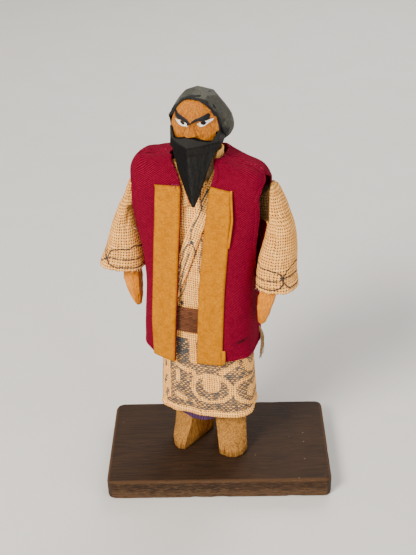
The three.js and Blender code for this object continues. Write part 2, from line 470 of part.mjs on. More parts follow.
for (const side of ["left", "right"]) {
  const s = side === "left" ? 1 : -1, X = (o) => SHOULDER_CX + s * o;
  const rows = [...SLEEVE_TOP[side], ...SLEEVE];
  const outer = loft(rows.map((r) => sleeveRing(r, side, 0)));
  const innerRows = rows.slice(2).map((r) => sleeveRing(r, side, 1.2));
  innerRows.push(sleeveRing([107, ...SLEEVE[SLEEVE.length - 1].slice(1)], side, 1.2));
  const hole = rod(4.4, 24, 30, 20).rotateY((s * Math.PI) / 2).translate(SHOULDER_CX, PIVOT_Y, PIVOT_Z);
  add(figure, "sleeve_" + side, cut(outer, loft(innerRows), hole), finish.burlap);

  // arm: shoulder disc with its boss, a tapered stick and a paddle hand
  const arm0 = loft(ARM[side].map(([z, x0, x1, y0, y1, ridge]) => [
    V(X(x0), y1 - 1.2, z), V(X(x0), y0 + 1.6, z), V(X(lerp(x0, x1, ridge)), y0, z), V(X(x1 - 0.6), y0 + 1.4, z), V(X(x1), lerp(y0, y1, 0.55), z), V(X(lerp(x0, x1, 0.6)), y1, z),
  ]));
  const disc = rod(4.0, 29.8, 34.0, 24).rotateY((s * Math.PI) / 2).translate(SHOULDER_CX, PIVOT_Y, PIVOT_Z);
  const boss = rod(3.6, 27.0, 30.2, 24).rotateY((s * Math.PI) / 2).translate(SHOULDER_CX, PIVOT_Y, PIVOT_Z);
  const bore = rod(PIN_R + FIT, 20, 50, 16).rotateY((s * Math.PI) / 2).translate(SHOULDER_CX, PIVOT_Y, PIVOT_Z);
  const fingers = [];
  const tip = ARM[side][0][1];
  for (const [k, y] of [[0, -7.6], [1, -5.8], [2, -4.0]])
    fingers.push(box(-0.5, -0.32, -9, 0.5, 0.32, 8).rotateZ(Math.PI / 4).rotateY(s * rad(side === "left" ? 0.5 : 3)).translate(X(tip - 0.3 - 0.05 * k), y, 89));
  const seat = rod(PIN_HEAD_R + GAP, 34.0, 42, 16).rotateY((s * Math.PI) / 2).translate(SHOULDER_CX, PIVOT_Y, PIVOT_Z);
  add(figure, "arm_" + side, cut(join(arm0, disc, boss), bore, seat, ...fingers), finish.limb);
  const nail = turned([[0, 18], [0.3, 18], [PIN_R, 20.5], [PIN_R, 34.3], [PIN_HEAD_R, 34.3], [PIN_HEAD_R, 34.9], [PIN_HEAD_R - 0.8, 35.2], [0, 35.2]], 16)
    .rotateY((s * Math.PI) / 2).translate(SHOULDER_CX, PIVOT_Y, PIVOT_Z);
  add(figure, "shoulder_nail_" + side, nail, finish.steel);
}

// ---------------------------------------------------------------- head, hair and beard
const head = new THREE.Group();
head.position.set(NECK_X, 0, 0);
head.rotation.z = rad(HEAD_YAW);
figure.add(head);
// Symmetric section: front ridge, then [x, y] corners down one side, then the back point.
const facetRing = (z, front, corners, back, grow = 0) => {
  const g = (x, y) => {
    const r = Math.hypot(x, y) || 1;
    return [x + (grow * x) / r, y + (grow * y) / r];
  };
  const pts = [[0, front], ...corners, [0, back], ...corners.slice().reverse().map(([x, y]) => [-x, y])];
  return pts.map(([x, y]) => V(...g(x, y), z));
};
const HEAD = [
  [177.4, -8.6, [[5.6, -7.6], [9.8, -4.4], [10.6, 3.0], [6.8, 8.6]], 10.0],
  [181.0, -11.0, [[6.6, -9.2], [11.6, -5.2], [12.0, 3.2], [7.8, 9.8]], 11.4],
  [186.0, -12.6, [[6.8, -10.2], [12.2, -4.9], [12.4, 3.6], [8.4, 10.6]], 12.4],
  [190.0, -12.2, [[6.8, -9.9], [12.0, -4.6], [12.2, 3.8], [8.6, 10.8]], 12.6],
  [192.4, -13.0, [[6.6, -10.6], [11.3, -4.8], [11.7, 3.8], [8.4, 10.4]], 12.2],
  [196.8, -11.9, [[5.8, -9.6], [9.5, -4.6], [10.0, 3.2], [7.2, 9.2]], 10.8],
  [200.4, -9.2, [[4.4, -7.3], [6.8, -3.4], [7.4, 2.6], [5.4, 6.8]], 8.2],
  [202.4, -5.8, [[2.6, -4.6], [4.2, -2.0], [4.6, 2.0], [3.2, 4.2]], 5.2],
];
{
  const core = (grow) => loft(HEAD.map(([z, f, c, b], i) => facetRing(z + (i === HEAD.length - 1 ? grow : i === 0 ? -grow : 0), f, c, b, grow)));
  const nose = loft([[185.6, 3.1, -10.4, -15.2], [187.2, 2.7, -10.4, -15.4], [192.6, 0.9, -10.4, -13.2]].map(([z, w, y0, y1]) => [V(-w, y0, z), V(-w, y1 + 2.2, z), V(-0.45, y1, z), V(0.45, y1, z), V(w, y1 + 2.2, z), V(w, y0, z)]));
  const socket = rod(NECK_DOWEL_R + FIT, 170, 191.6, 28);
  add(head, "head", cut(join(core(0), nose), socket), finish.skin);

  // carved hair cap, cut away in front of the face
  const HAIR = [
    [178.4, 1.0, [[8.4, 1.2], [10.4, 2.6], [10.8, 7.0], [7.2, 11.2]], 12.6],
    [184.0, -3.0, [[9.0, -2.8], [13.2, -2.2], [13.9, 5.6], [10.2, 12.4]], 15.0],
    [189.6, -6.0, [[8.6, -5.8], [13.3, -4.6], [15.0, 5.0], [11.2, 12.8]], 15.8],
    [195.0, -9.0, [[7.4, -8.6], [11.4, -5.6], [12.8, 4.4], [9.4, 11.2]], 14.0],
    [199.4, -10.8, [[5.4, -9.2], [8.7, -5.2], [9.7, 3.4], [7.0, 8.8]], 10.8],
    [202.6, -8.8, [[3.8, -7.2], [5.9, -3.6], [6.5, 2.6], [4.6, 6.0]], 7.4],
    [204.4, -4.4, [[2.1, -3.5], [3.4, -1.8], [3.7, 1.2], [2.7, 3.0]], 3.8],
  ];
  const window = new THREE.Shape([[-10.9, 160], [10.9, 160], [11.7, 184], [11.2, 189.6], [9.4, 195], [6.4, 199.2], [3.2, 201.4], [0, 202.1], [-3.2, 201.4], [-6.4, 199.2], [-9.4, 195], [-11.2, 189.6], [-11.7, 184]].map(([x, z]) => new THREE.Vector2(x, z)));
  const windowTool = new THREE.ExtrudeGeometry(window, { depth: 30, bevelEnabled: false }).rotateX(Math.PI / 2); // extrudes towards -y
  let hair = solidOf(loft(HAIR.map(([z, f, c, b]) => facetRing(z, f, c, b)))).subtract(solidOf(core(GAP))).subtract(solidOf(windowTool))
    .subtract(solidOf(rod(NECK_DOWEL_R + 1, 170, 192)));
  // only the cap, not crumbs left inside
  hair = hair.decompose().sort((a, b) => b.volume() - a.volume())[0];
  add(head, "hair", geometryOf(hair), finish.hair);

  // beard: a moustache block over a long wedge, hollowed at the back for the jaw
  const wedge = (z, ridge, half, side, back, cx) => [
    V(cx, -ridge, z), V(cx + half * 0.52, -lerp(ridge, side, 0.42), z), V(cx + half, -side, z), V(cx + half * 0.93, -back, z), V(cx, -back, z), V(cx - half * 0.93, -back, z), V(cx - half, -side, z), V(cx - half * 0.52, -lerp(ridge, side, 0.42), z),
  ];
  const BEARD = [
    wedge(152.8, 20.2, 0.7, 19.6, 19.0, 3.2),
    wedge(158.0, 20.4, 3.1, 18.2, 16.8, 2.7),
    wedge(164.4, 19.8, 5.6, 16.4, 15.2, 2.2),
    wedge(170.4, 18.6, 8.0, 14.0, 13.4, 1.3),
    wedge(175.0, 17.3, 9.9, 11.0, 9.4, 0.5),
    wedge(178.2, 16.4, 11.2, 8.6, 2.0, 0.2),
  ];
  const lip = [
    wedge(177.6, 17.4, 11.8, 8.4, 0.5, 0),
    wedge(181.2, 17.0, 12.2, 7.4, -1.0, 0),
    wedge(187.2, 13.6, 12.6, 5.6, -1.0, 0),
  ];
  // the block's top falls away from the nose, and rises again as whiskers in front of the ears
  const above = new THREE.Shape([[-11.4, 200], [-11.4, 186.2], [-9.2, 182.6], [-4.2, 184.0], [-1.5, 185.2], [1.5, 185.2], [4.2, 184.0], [9.2, 182.6], [11.4, 186.2], [11.4, 200]].map(([x, z]) => new THREE.Vector2(x, z)));
  const aboveTool = new THREE.ExtrudeGeometry(above, { depth: 40, bevelEnabled: false }).rotateX(Math.PI / 2).translate(0, 5, 0);
  let beard = solidOf(loft(BEARD)).add(solidOf(loft(lip))).subtract(solidOf(aboveTool)).subtract(solidOf(core(GAP)))
    .subtract(solidOf(loft(HAIR.map(([z, f, c, b]) => facetRing(z, f, c, b, GAP)))))
    .subtract(solidOf(join(nose, nose.clone().translate(0, -0.2, -GAP))));
  beard = beard.decompose().sort((a, b) => b.volume() - a.volume())[0];
  add(head, "beard", geometryOf(beard), finish.beard);
}

export default group;
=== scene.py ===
# Looks for the standing carved-wood doll in cloth dress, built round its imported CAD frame.
# Shapes are worked out in millimetres in the figure's own frame and then placed in the row frame in metres.
import math

import bpy
import numpy as np
from mathutils import Matrix, Vector


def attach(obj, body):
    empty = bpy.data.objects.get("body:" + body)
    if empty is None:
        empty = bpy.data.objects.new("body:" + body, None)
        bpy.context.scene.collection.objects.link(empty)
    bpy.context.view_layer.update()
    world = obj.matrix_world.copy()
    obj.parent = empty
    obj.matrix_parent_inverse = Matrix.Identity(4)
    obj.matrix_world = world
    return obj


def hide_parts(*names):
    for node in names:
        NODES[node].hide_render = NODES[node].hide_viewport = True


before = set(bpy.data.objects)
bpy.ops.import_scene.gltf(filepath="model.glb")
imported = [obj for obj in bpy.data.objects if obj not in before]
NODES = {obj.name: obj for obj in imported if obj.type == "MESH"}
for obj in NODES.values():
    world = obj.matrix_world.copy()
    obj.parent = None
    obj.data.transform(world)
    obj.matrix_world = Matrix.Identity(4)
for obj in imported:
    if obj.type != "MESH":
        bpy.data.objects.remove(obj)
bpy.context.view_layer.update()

FIG_X, FIG_Y, FIG_Z, FIG_YAW = -4.4, 4.0, 12.0, math.radians(-18)
NECK_X, HEAD_YAW = -0.8, math.radians(-2)
rng = np.random.default_rng(7)


def to_row(p):
    """Figure millimetres to row metres."""
    p = np.asarray(p, float)
    c, s = math.cos(FIG_YAW), math.sin(FIG_YAW)
    return np.stack([c * p[..., 0] - s * p[..., 1] + FIG_X, s * p[..., 0] + c * p[..., 1] + FIG_Y, p[..., 2] + FIG_Z], -1) / 1000


def to_fig(p):
    """Row metres to figure millimetres."""
    p = np.asarray(p, float) * 1000
    x, y = p[..., 0] - FIG_X, p[..., 1] - FIG_Y
    c, s = math.cos(FIG_YAW), math.sin(FIG_YAW)
    return np.stack([c * x + s * y, -s * x + c * y, p[..., 2] - FIG_Z], -1)


def smooth(a, b, x):
    t = np.clip((np.asarray(x, float) - a) / (b - a), 0, 1)
    return t * t * (3 - 2 * t)


# ---------------------------------------------------------------- forms the clothes hang on
class Form:
    """Rows of [z, half width, front, back, centre x, power], as in the frame."""

    def __init__(self, table):
        self.T = np.array(table, float)
        self.n = len(self.T)
        self.td = np.linspace(0, self.n - 1, 6000)
        self.zd = np.maximum.accumulate(self.row(self.td)[:, 0])

    def row(self, t):
        t = np.asarray(t, float)
        i = np.clip(np.floor(t), 0, self.n - 2).astype(int)
        f = (t - i)[..., None]
        at = lambda k: self.T[np.clip(k, 0, self.n - 1)]
        p0, p1, p2, p3 = at(i - 1), at(i), at(i + 1), at(i + 2)
        m1, m2 = (p2 - p0) / 2, (p3 - p1) / 2
        return (2 * f**3 - 3 * f**2 + 1) * p1 + (f**3 - 2 * f**2 + f) * m1 + (-2 * f**3 + 3 * f**2) * p2 + (f**3 - f**2) * m2

    def raw(self, t, u):
        r = self.row(t)
        z, a, f, b, cx, pw = (r[..., k] for k in range(6))
        c, s, e = np.cos(u), np.sin(u), 2 / pw
        return np.stack([cx + a * np.sign(c) * np.abs(c) ** e, np.where(s < 0, f, b) * np.sign(s) * np.abs(s) ** e, z + 0 * u], -1)

    def normal(self, t, u):
        h = 0.03
        du = self.raw(t, u + h) - self.raw(t, u - h)
        dt = self.raw(np.minimum(t + h, self.n - 1), u) - self.raw(np.maximum(t - h, 0), u)
        n = np.cross(du, dt)
        return n / np.maximum(np.linalg.norm(n, axis=-1, keepdims=True), 1e-9)

    def at(self, t, u, off):
        return self.raw(t, u) + self.normal(t, u) * np.asarray(off, float)[..., None]

    def index_of(self, z):
        return np.interp(z, self.zd, self.td)

    def angle_of_x(self, t, x):
        r = self.row(t)
        k = np.minimum(np.abs((x - r[..., 4]) / r[..., 1]), 1) ** (r[..., 5] / 2)
        return -np.arccos(np.sign(x - r[..., 4]) * k)

    def angle_of_y(self, t, y):
        r = self.row(t)
        k = np.minimum(np.abs(y) / np.where(y < 0, r[..., 2], r[..., 3]), 1) ** (r[..., 5] / 2)
        return np.sign(y) * np.arcsin(k)

    def spread(self, t, u0, u1, cols, off):
        """For each row t, cols angles from u0 to u1 at equal arc lengths, with their arc lengths."""
        t, u0, u1 = (np.asarray(x, float) for x in (t, u0, u1))
        k = np.linspace(0, 1, 500)
        u = u0[:, None] + (u1 - u0)[:, None] * k
        tt = np.repeat(t[:, None], u.shape[1], 1)
        p = self.at(tt, u, np.full(u.shape, off))
        ln = np.concatenate([np.zeros((len(t), 1)), np.cumsum(np.linalg.norm(np.diff(p, axis=1), axis=2), 1)], 1)
        out, arc = np.zeros((len(t), cols)), np.zeros((len(t), cols))
        for r in range(len(t)):
            want = np.linspace(0, ln[r, -1], cols)
            out[r], arc[r] = np.interp(want, ln[r], u[r]), want
        return out, arc


TORSO = Form([
    [18, 22.2, 10.6, 9.8, 0.3, 4.2], [34, 21.9, 10.8, 9.9, 0.3, 4.0], [60, 21.2, 11.2, 10.0, 0.2, 3.4], [86, 20.8, 11.8, 10.2, 0.0, 2.9],
    [110, 21.2, 11.4, 10.4, -0.4, 2.6], [132, 22.4, 10.2, 10.6, -0.9, 2.5], [146, 23.4, 8.9, 10.6, -1.2, 2.5], [154, 23.6, 7.9, 10.2, -1.2, 2.5],
    [159.6, 22.4, 7.0, 9.4, -1.1, 2.5], [163.0, 18.6, 6.4, 8.6, -1.0, 2.5], [166.0, 13.4, 6.0, 7.8, -0.9, 2.4], [168.8, 9.2, 5.8, 7.2, -0.8, 2.3], [172.5, 7.2, 5.4, 6.6, -0.8, 2.2]])
COAT = Form([
    [60.5, 28.6, 16.4, 14.9, -2.4, 4], [72, 28.5, 16.7, 15.0, -2.2, 4], [86, 27.8, 16.8, 15.1, -2.0, 4], [104, 27.0, 16.4, 15.2, -1.4, 4],
    [120, 28.2, 15.8, 15.3, -1.3, 4], [132, 30.4, 15.2, 15.3, -1.3, 4], [144, 32.6, 14.1, 15.2, -1.3, 4], [154, 33.2, 13.0, 14.8, -1.3, 4],
    [161.5, 33.0, 11.6, 13.8, -1.3, 4], [166.4, 31.8, 10.2, 12.6, -1.2, 4], [169.4, 28.6, 9.3, 11.9, -1.0, 4], [171.2, 21.6, 8.7, 11.4, -0.8, 4], [172.6, 14.2, 8.3, 11.2, -0.8, 4]])
FRONT_EDGE = {
    "left": [[60, 0.0], [108, 2.6], [140, 5.8], [158, 7.8], [164, 9.0], [170, 10.4], [178, 11.2]],
    "right": [[60, -12.4], [105, -9.2], [140, -7.0], [158, -6.4], [164, -8.2], [170, -11.6], [178, -14.6]]}
ARM_EDGE = [[60, 1.0], [72, 2.4], [86, 3.0], [102, 1.6], [114, -2.4], [122, -5.6], [130, -8.2], [140, -8.8], [156, -8.6], [161, -6.4], [164, -3.6], [167, -0.5], [180, 0.5]]
BACK_EDGE = [[60, 3.4], [72, 4.4], [86, 5.0], [102, 4.6], [114, 5.4], [124, 7.2], [136, 8.4], [150, 8.6], [157, 8.2], [161, 6.0], [164, 2.9], [167, 0.3], [180, 0.85]]
BAND_WIDTH = {"left": [[60, 13.2], [108, 12.6], [146, 12.0], [163, 9.6]], "right": [[60, -11.2], [84, -12.6], [108, -12.6], [160, -12.8]]}
HEM_RISE = {"left": [[10, 3.4], [14, 3.8], [24, 6.2], [28, 6.8]], "right": [[-30, 4.6], [-26, 4.0], [-20, 1.2], [-12, 0]], "back": [[-30, 4.4], [-27, 2.6], [-22, 0], [18, 0], [24, 3.4], [27, 6.6]]}


def along(table, z):
    t = np.array(table, float)
    return np.interp(z, t[:, 0], t[:, 1])


def settle(side, P):
    """The left shoulder slopes more than the right, and the hems rise towards the side slits."""
    x, z = P[..., 0].copy(), P[..., 2].copy()
    P[..., 0] = x - 2.0 * smooth(167, 171.5, z) * smooth(7, 12, x) * smooth(30, 18, x)  # it lies close to the neck on the left
    P[..., 2] = z + along(HEM_RISE[side], x) * (1 - smooth(60.5, 90, z)) - 2.4 * smooth(9, 22, x) * smooth(160, 168, z) - 1.5 * smooth(-10, -17, x) * smooth(-32, -24, x) * smooth(160, 168, z)
    return P


# ---------------------------------------------------------------- mesh making
def build(name, verts, faces, uvs=None, attrs=None, smooth_shade=True):
    """A mesh from row-frame points, quads and corner coordinates, its faces turned to point out."""
    verts, faces = np.asarray(verts, np.float64), np.asarray(faces, np.int64)
    a, b, c, d = (verts[faces[:, k]] for k in range(4))
    volume = (np.einsum("ij,ij->i", a, np.cross(b, c)) + np.einsum("ij,ij->i", a, np.cross(c, d))).sum()
    if volume < 0:
        faces = faces[:, ::-1]
        uvs = None if uvs is None else uvs[:, ::-1]
    me = bpy.data.meshes.new(name)
    me.vertices.add(len(verts))
    me.vertices.foreach_set("co", verts.astype(np.float32).ravel())
    me.loops.add(faces.size)
    me.loops.foreach_set("vertex_index", faces.astype(np.int32).ravel())
    me.polygons.add(len(faces))
    me.polygons.foreach_set("loop_start", np.arange(0, faces.size, 4, dtype=np.int32))
    me.polygons.foreach_set("use_smooth", np.full(len(faces), smooth_shade))
    if uvs is not None:
        layer = me.uv_layers.new(name="cloth_mm")
        layer.data.foreach_set("uv", np.ascontiguousarray(uvs, np.float32).ravel())
    me.update(calc_edges=True)
    for k, v in (attrs or {}).items():
        at = me.attributes.new(k, "FLOAT", "POINT")
        at.data.foreach_set("value", np.asarray(v, np.float32).ravel())
    me.validate()
    ob = bpy.data.objects.new(name, me)
    bpy.context.scene.collection.objects.link(ob)
    return ob


def shell(name, outer, inner, uv, wrap=False, period=0.0, attrs=None, rim=0.3):
    """A closed sheet of cloth between two grids (rows x cols x 3, figure millimetres), its raw edges rounded."""
    R, C = outer.shape[:2]
    Ri = inner.shape[0]
    if not wrap:
        assert Ri == R
    thick = np.linalg.norm(outer[0] - inner[0], axis=-1).mean()
    verts = [outer.reshape(-1, 3), inner.reshape(-1, 3)]
    uvv = [uv.reshape(-1, 2), (uv if Ri == R else uv[np.linspace(0, R - 1, Ri).round().astype(int)]).reshape(-1, 2)]
    at = {k: [np.asarray(v, float).reshape(-1), (v if Ri == R else v[np.linspace(0, R - 1, Ri).round().astype(int)]).reshape(-1)] for k, v in (attrs or {}).items()}
    o = lambda i, j: i * C + j
    q = lambda i, j: R * C + i * C + j
    faces, fuv = [], []

    def add(a, b, c, d, wrapcol):
        f = np.stack([a, b, c, d], -1).reshape(-1, 4)
        faces.append(f)
        fuv.append((f, np.asarray(wrapcol).reshape(-1)))

    cols = C if wrap else C - 1
    j = np.arange(cols)
    j1 = (j + 1) % C
    for n, idx, flip in ((R, o, False), (Ri, q, True)):
        i = np.arange(n - 1)[:, None]
        a, b, c, d = idx(i, j[None]), idx(i, j1[None]), idx(i + 1, j1[None]), idx(i + 1, j[None])
        w = np.repeat((j == C - 1)[None], n - 1, 0)
        add(*((a, d, c, b) if flip else (a, b, c, d)), w)
    # the rim: loops of (outer, inner) boundary vertices, bulged a little
    def rim_loop(out_idx, in_idx, out_next, closed):
        base = sum(len(v) for v in verts)
        P, Q, N = verts_all(out_idx), verts_all(in_idx), verts_all(out_next)
        d = P - N
        d /= np.maximum(np.linalg.norm(d, axis=1, keepdims=True), 1e-9)
        verts.append((P + Q) / 2 + d * thick * rim)
        allu = np.concatenate(uvv)
        uvv.append(allu[out_idx])
        for k in at:
            at[k].append(np.concatenate(at[k])[out_idx])
        m = len(out_idx)
        k = np.arange(m if closed else m - 1)
        k1 = (k + 1) % m
        w = (k == m - 1) & bool(closed and wrap)
        add(out_idx[k], base + k, base + k1, out_idx[k1], w)
        add(base + k, in_idx[k], in_idx[k1], base + k1, w)

    def verts_all(idx):
        return np.concatenate(verts)[idx]

    if wrap:
        jj = np.arange(C)
        rim_loop(o(0, jj), q(0, jj), o(1, jj), True)
        rim_loop(o(R - 1, jj), q(Ri - 1, jj), o(R - 2, jj), True)
    else:
        jj, ii = np.arange(C), np.arange(R)
        ring = [(o(0, x), q(0, x), o(1, min(max(x, 1), C - 2))) for x in jj[:-1]]
        ring += [(o(x, C - 1), q(x, C - 1), o(min(max(x, 1), R - 2), C - 2)) for x in ii[:-1]]
        ring += [(o(R - 1, x), q(R - 1, x), o(R - 2, min(max(x, 1), C - 2))) for x in jj[:0:-1]]
        ring += [(o(x, 0), q(x, 0), o(min(max(x, 1), R - 2), 1)) for x in ii[:0:-1]]
        ring = np.array(ring)
        rim_loop(ring[:, 0], ring[:, 1], ring[:, 2], True)
    V = np.concatenate(verts)
    U = np.concatenate(uvv)
    F = np.concatenate(faces)
    fu = []
    for f, w in fuv:
        u = U[f].copy()
        if wrap and w.any():
            low = u[:, :, 0] < u[:, :, 0].max(1, keepdims=True) - period / 2
            u[:, :, 0] += np.where(low & w[:, None], period, 0)
        fu.append(u)
    # orientation is judged as one: rims follow the outer grid
    F = orient(V, F)
    return build(name, to_row(V), F[0], np.concatenate(fu) if F[1] is None else np.take_along_axis(np.concatenate(fu), F[1][:, :, None], 1), {k: np.concatenate(v) for k, v in at.items()})


def orient(V, F):
    """Turns faces so that neighbours agree, starting from the first. Returns faces and the corner order used."""
    order = np.tile(np.arange(4), (len(F), 1))
    edges = {}
    flat = F.tolist()
    nb = [[] for _ in flat]
    for fi, f in enumerate(flat):
        for k in range(4):
            a, b = f[k], f[(k + 1) % 4]
            key = (a, b) if a < b else (b, a)
            if key in edges:
                fj, same = edges[key]
                s = (a < b) == same
                nb[fi].append((fj, s))
                nb[fj].append((fi, s))
            else:
                edges[key] = (fi, a < b)
    flip = [None] * len(flat)
    for start in range(len(flat)):
        if flip[start] is not None:
            continue
        flip[start] = False
        stack = [start]
        while stack:
            x = stack.pop()
            for y, same in nb[x]:
                if flip[y] is None:
                    flip[y] = flip[x] ^ same
                    stack.append(y)
    fl = np.array(flip, bool)
    order[fl] = order[fl][:, ::-1]
    return np.take_along_axis(F, order, 1), order


# ---------------------------------------------------------------- distances for printed and painted shapes
def d_poly(p, pts, half):
    """Distance from a thick open line."""
    p = np.asarray(p, float)
    best = np.full(p.shape[:-1], 1e9)
    pts = np.asarray(pts, float)
    for a, b in zip(pts[:-1], pts[1:]):
        ab = b - a
        t = np.clip(((p - a) @ ab) / max(ab @ ab, 1e-9), 0, 1)
        best = np.minimum(best, np.linalg.norm(p - a - t[..., None] * ab, axis=-1))
    return best - half


def d_shape(p, pts):
    """Signed distance from a closed outline, negative inside."""
    p = np.asarray(p, float)
    pts = np.asarray(pts, float)
    best = np.full(p.shape[:-1], 1e9)
    inside = np.zeros(p.shape[:-1], bool)
    for a, b in zip(pts, np.roll(pts, -1, 0)):
        ab = b - a
        t = np.clip(((p - a) @ ab) / max(ab @ ab, 1e-9), 0, 1)
        best = np.minimum(best, np.linalg.norm(p - a - t[..., None] * ab, axis=-1))
        cond = (a[1] > p[..., 1]) != (b[1] > p[..., 1])
        with np.errstate(divide="ignore", invalid="ignore"):
            x = a[0] + (p[..., 1] - a[1]) * (b[0] - a[0]) / (b[1] - a[1])
        inside ^= cond & (p[..., 0] < x)
    return np.where(inside, -best, best)


def d_disc(p, c, rx, rz):
    q = (np.asarray(p, float) - np.array(c)) / np.array([rx, rz])
    return (np.linalg.norm(q, axis=-1) - 1) * min(rx, rz)


def d_ring(p, c, rx, rz, half):
    return np.abs(d_disc(p, c, rx, rz)) - half


# ---------------------------------------------------------------- node graphs
def lin(hexcol):
    h = hexcol.lstrip("#")
    out = []
    for k in (0, 2, 4):
        v = int(h[k:k + 2], 16) / 255
        out.append(v / 12.92 if v <= 0.04045 else ((v + 0.055) / 1.055) ** 2.4)
    return (*out, 1.0)


class X:
    """A value in a node graph, with arithmetic."""

    def __init__(self, g, sock):
        self.g, self.s = g, sock

    def __add__(self, o): return self.g.m("ADD", self, o)
    __radd__ = __add__
    def __sub__(self, o): return self.g.m("SUBTRACT", self, o)
    def __rsub__(self, o): return self.g.m("SUBTRACT", o, self)
    def __mul__(self, o): return self.g.m("MULTIPLY", self, o)
    __rmul__ = __mul__
    def __truediv__(self, o): return self.g.m("DIVIDE", self, o)
    def __neg__(self): return self.g.m("MULTIPLY", self, -1.0)


class Graph:
    def __init__(self, name):
        self.mat = bpy.data.materials.new(name)
        self.mat.use_nodes = True
        self.nt = self.mat.node_tree
        self.bsdf = self.nt.nodes["Principled BSDF"]

    def node(self, kind, **props):
        n = self.nt.nodes.new(kind)
        for k, v in props.items():
            setattr(n, k, v)
        return n

    def put(self, socket, value):
        if isinstance(value, X):
            self.nt.links.new(value.s, socket)
        elif value is not None:
            socket.default_value = value

    def m(self, op, *a):
        n = self.node("ShaderNodeMath", operation=op)
        for i, v in enumerate(a):
            self.put(n.inputs[i], v)
        return X(self, n.outputs[0])

    def floor(self, a): return self.m("FLOOR", a)
    def fract(self, a): return self.m("FRACT", a)
    def abs(self, a): return self.m("ABSOLUTE", a)
    def sin(self, a): return self.m("SINE", a)
    def min(self, a, b): return self.m("MINIMUM", a, b)
    def max(self, a, b): return self.m("MAXIMUM", a, b)
    def pow(self, a, b): return self.m("POWER", a, b)
    def mod(self, a, b): return self.m("FLOORED_MODULO", a, b)
    def gt(self, a, b): return self.m("GREATER_THAN", a, b)

    def step(self, a, b, x, lo=0.0, hi=1.0):
        """Smooth step of x from a (lo) to b (hi)."""
        n = self.node("ShaderNodeMapRange", interpolation_type="SMOOTHSTEP")
        for k, v in (("Value", x), ("From Min", a), ("From Max", b), ("To Min", lo), ("To Max", hi)):
            self.put(n.inputs[k], v)
        return X(self, n.outputs[0])

    def xyz(self, x, y, z=0.0):
        n = self.node("ShaderNodeCombineXYZ")
        for i, v in enumerate((x, y, z)):
            self.put(n.inputs[i], v)
        return X(self, n.outputs[0])

    def sep(self, v):
        n = self.node("ShaderNodeSeparateXYZ")
        self.put(n.inputs[0], v)
        return [X(self, o) for o in n.outputs]

    def noise(self, vec, scale=1.0, detail=2.0, rough=0.5):
        n = self.node("ShaderNodeTexNoise")
        self.put(n.inputs["Vector"], vec)
        n.inputs["Scale"].default_value = scale
        n.inputs["Detail"].default_value = detail
        n.inputs["Roughness"].default_value = rough
        return X(self, n.outputs[0])

    def white(self, vec):
        n = self.node("ShaderNodeTexWhiteNoise", noise_dimensions="3D")
        self.put(n.inputs["Vector"], vec)
        return X(self, n.outputs[0])

    def voronoi(self, vec, scale=1.0, feature="F1", random=1.0):
        n = self.node("ShaderNodeTexVoronoi", feature=feature)
        self.put(n.inputs["Vector"], vec)
        n.inputs["Scale"].default_value = scale
        n.inputs["Randomness"].default_value = random
        return X(self, n.outputs[0])

    def uv(self):
        n = self.node("ShaderNodeUVMap", uv_map="cloth_mm")
        return self.sep(X(self, n.outputs[0]))

    def here(self):
        """Object coordinates in millimetres, turned into the figure's frame."""
        n = self.node("ShaderNodeTexCoord")
        x, y, z = self.sep(X(self, n.outputs["Object"]))
        x, y, z = x * 1000.0 - FIG_X, y * 1000.0 - FIG_Y, z * 1000.0 - FIG_Z
        c, s = math.cos(FIG_YAW), math.sin(FIG_YAW)
        return x * c + y * s, y * c - x * s, z

    def row_mm(self):
        n = self.node("ShaderNodeTexCoord")
        x, y, z = self.sep(X(self, n.outputs["Object"]))
        return x * 1000.0, y * 1000.0, z * 1000.0

    def attr(self, name):
        n = self.node("ShaderNodeAttribute", attribute_name=name)
        return X(self, n.outputs["Fac"])

    def mix(self, fac, a, b):
        n = self.node("ShaderNodeMix", data_type="RGBA")
        self.put(n.inputs["Factor"], fac)
        for k, v in ((6, a), (7, b)):
            self.put(n.inputs[k], lin(v) if isinstance(v, str) else v)
        return X(self, n.outputs[2])

    def shade(self, col, fac):
        """Colour times a value."""
        n = self.node("ShaderNodeVectorMath", operation="SCALE")
        self.put(n.inputs[0], col)
        self.put(n.inputs["Scale"], fac)
        return X(self, n.outputs[0])

    def done(self, color, rough, height=None, mm=1.0, spec=0.5, sheen=0.0, sheen_tint=None, coat=0.0, metal=0.0):
        self.put(self.bsdf.inputs["Base Color"], color)
        self.put(self.bsdf.inputs["Roughness"], rough)
        self.bsdf.inputs["Specular IOR Level"].default_value = spec
        self.bsdf.inputs["Sheen Weight"].default_value = sheen
        self.bsdf.inputs["Sheen Roughness"].default_value = 0.5
        if sheen_tint:
            self.bsdf.inputs["Sheen Tint"].default_value = lin(sheen_tint)
        self.bsdf.inputs["Coat Weight"].default_value = coat
        self.bsdf.inputs["Metallic"].default_value = metal
        if height is not None:
            b = self.node("ShaderNodeBump")
            b.inputs["Strength"].default_value = 1.0
            b.inputs["Distance"].default_value = 0.001 * mm
            self.put(b.inputs["Height"], height)
            self.nt.links.new(b.outputs[0], self.bsdf.inputs["Normal"])
        return self.mat


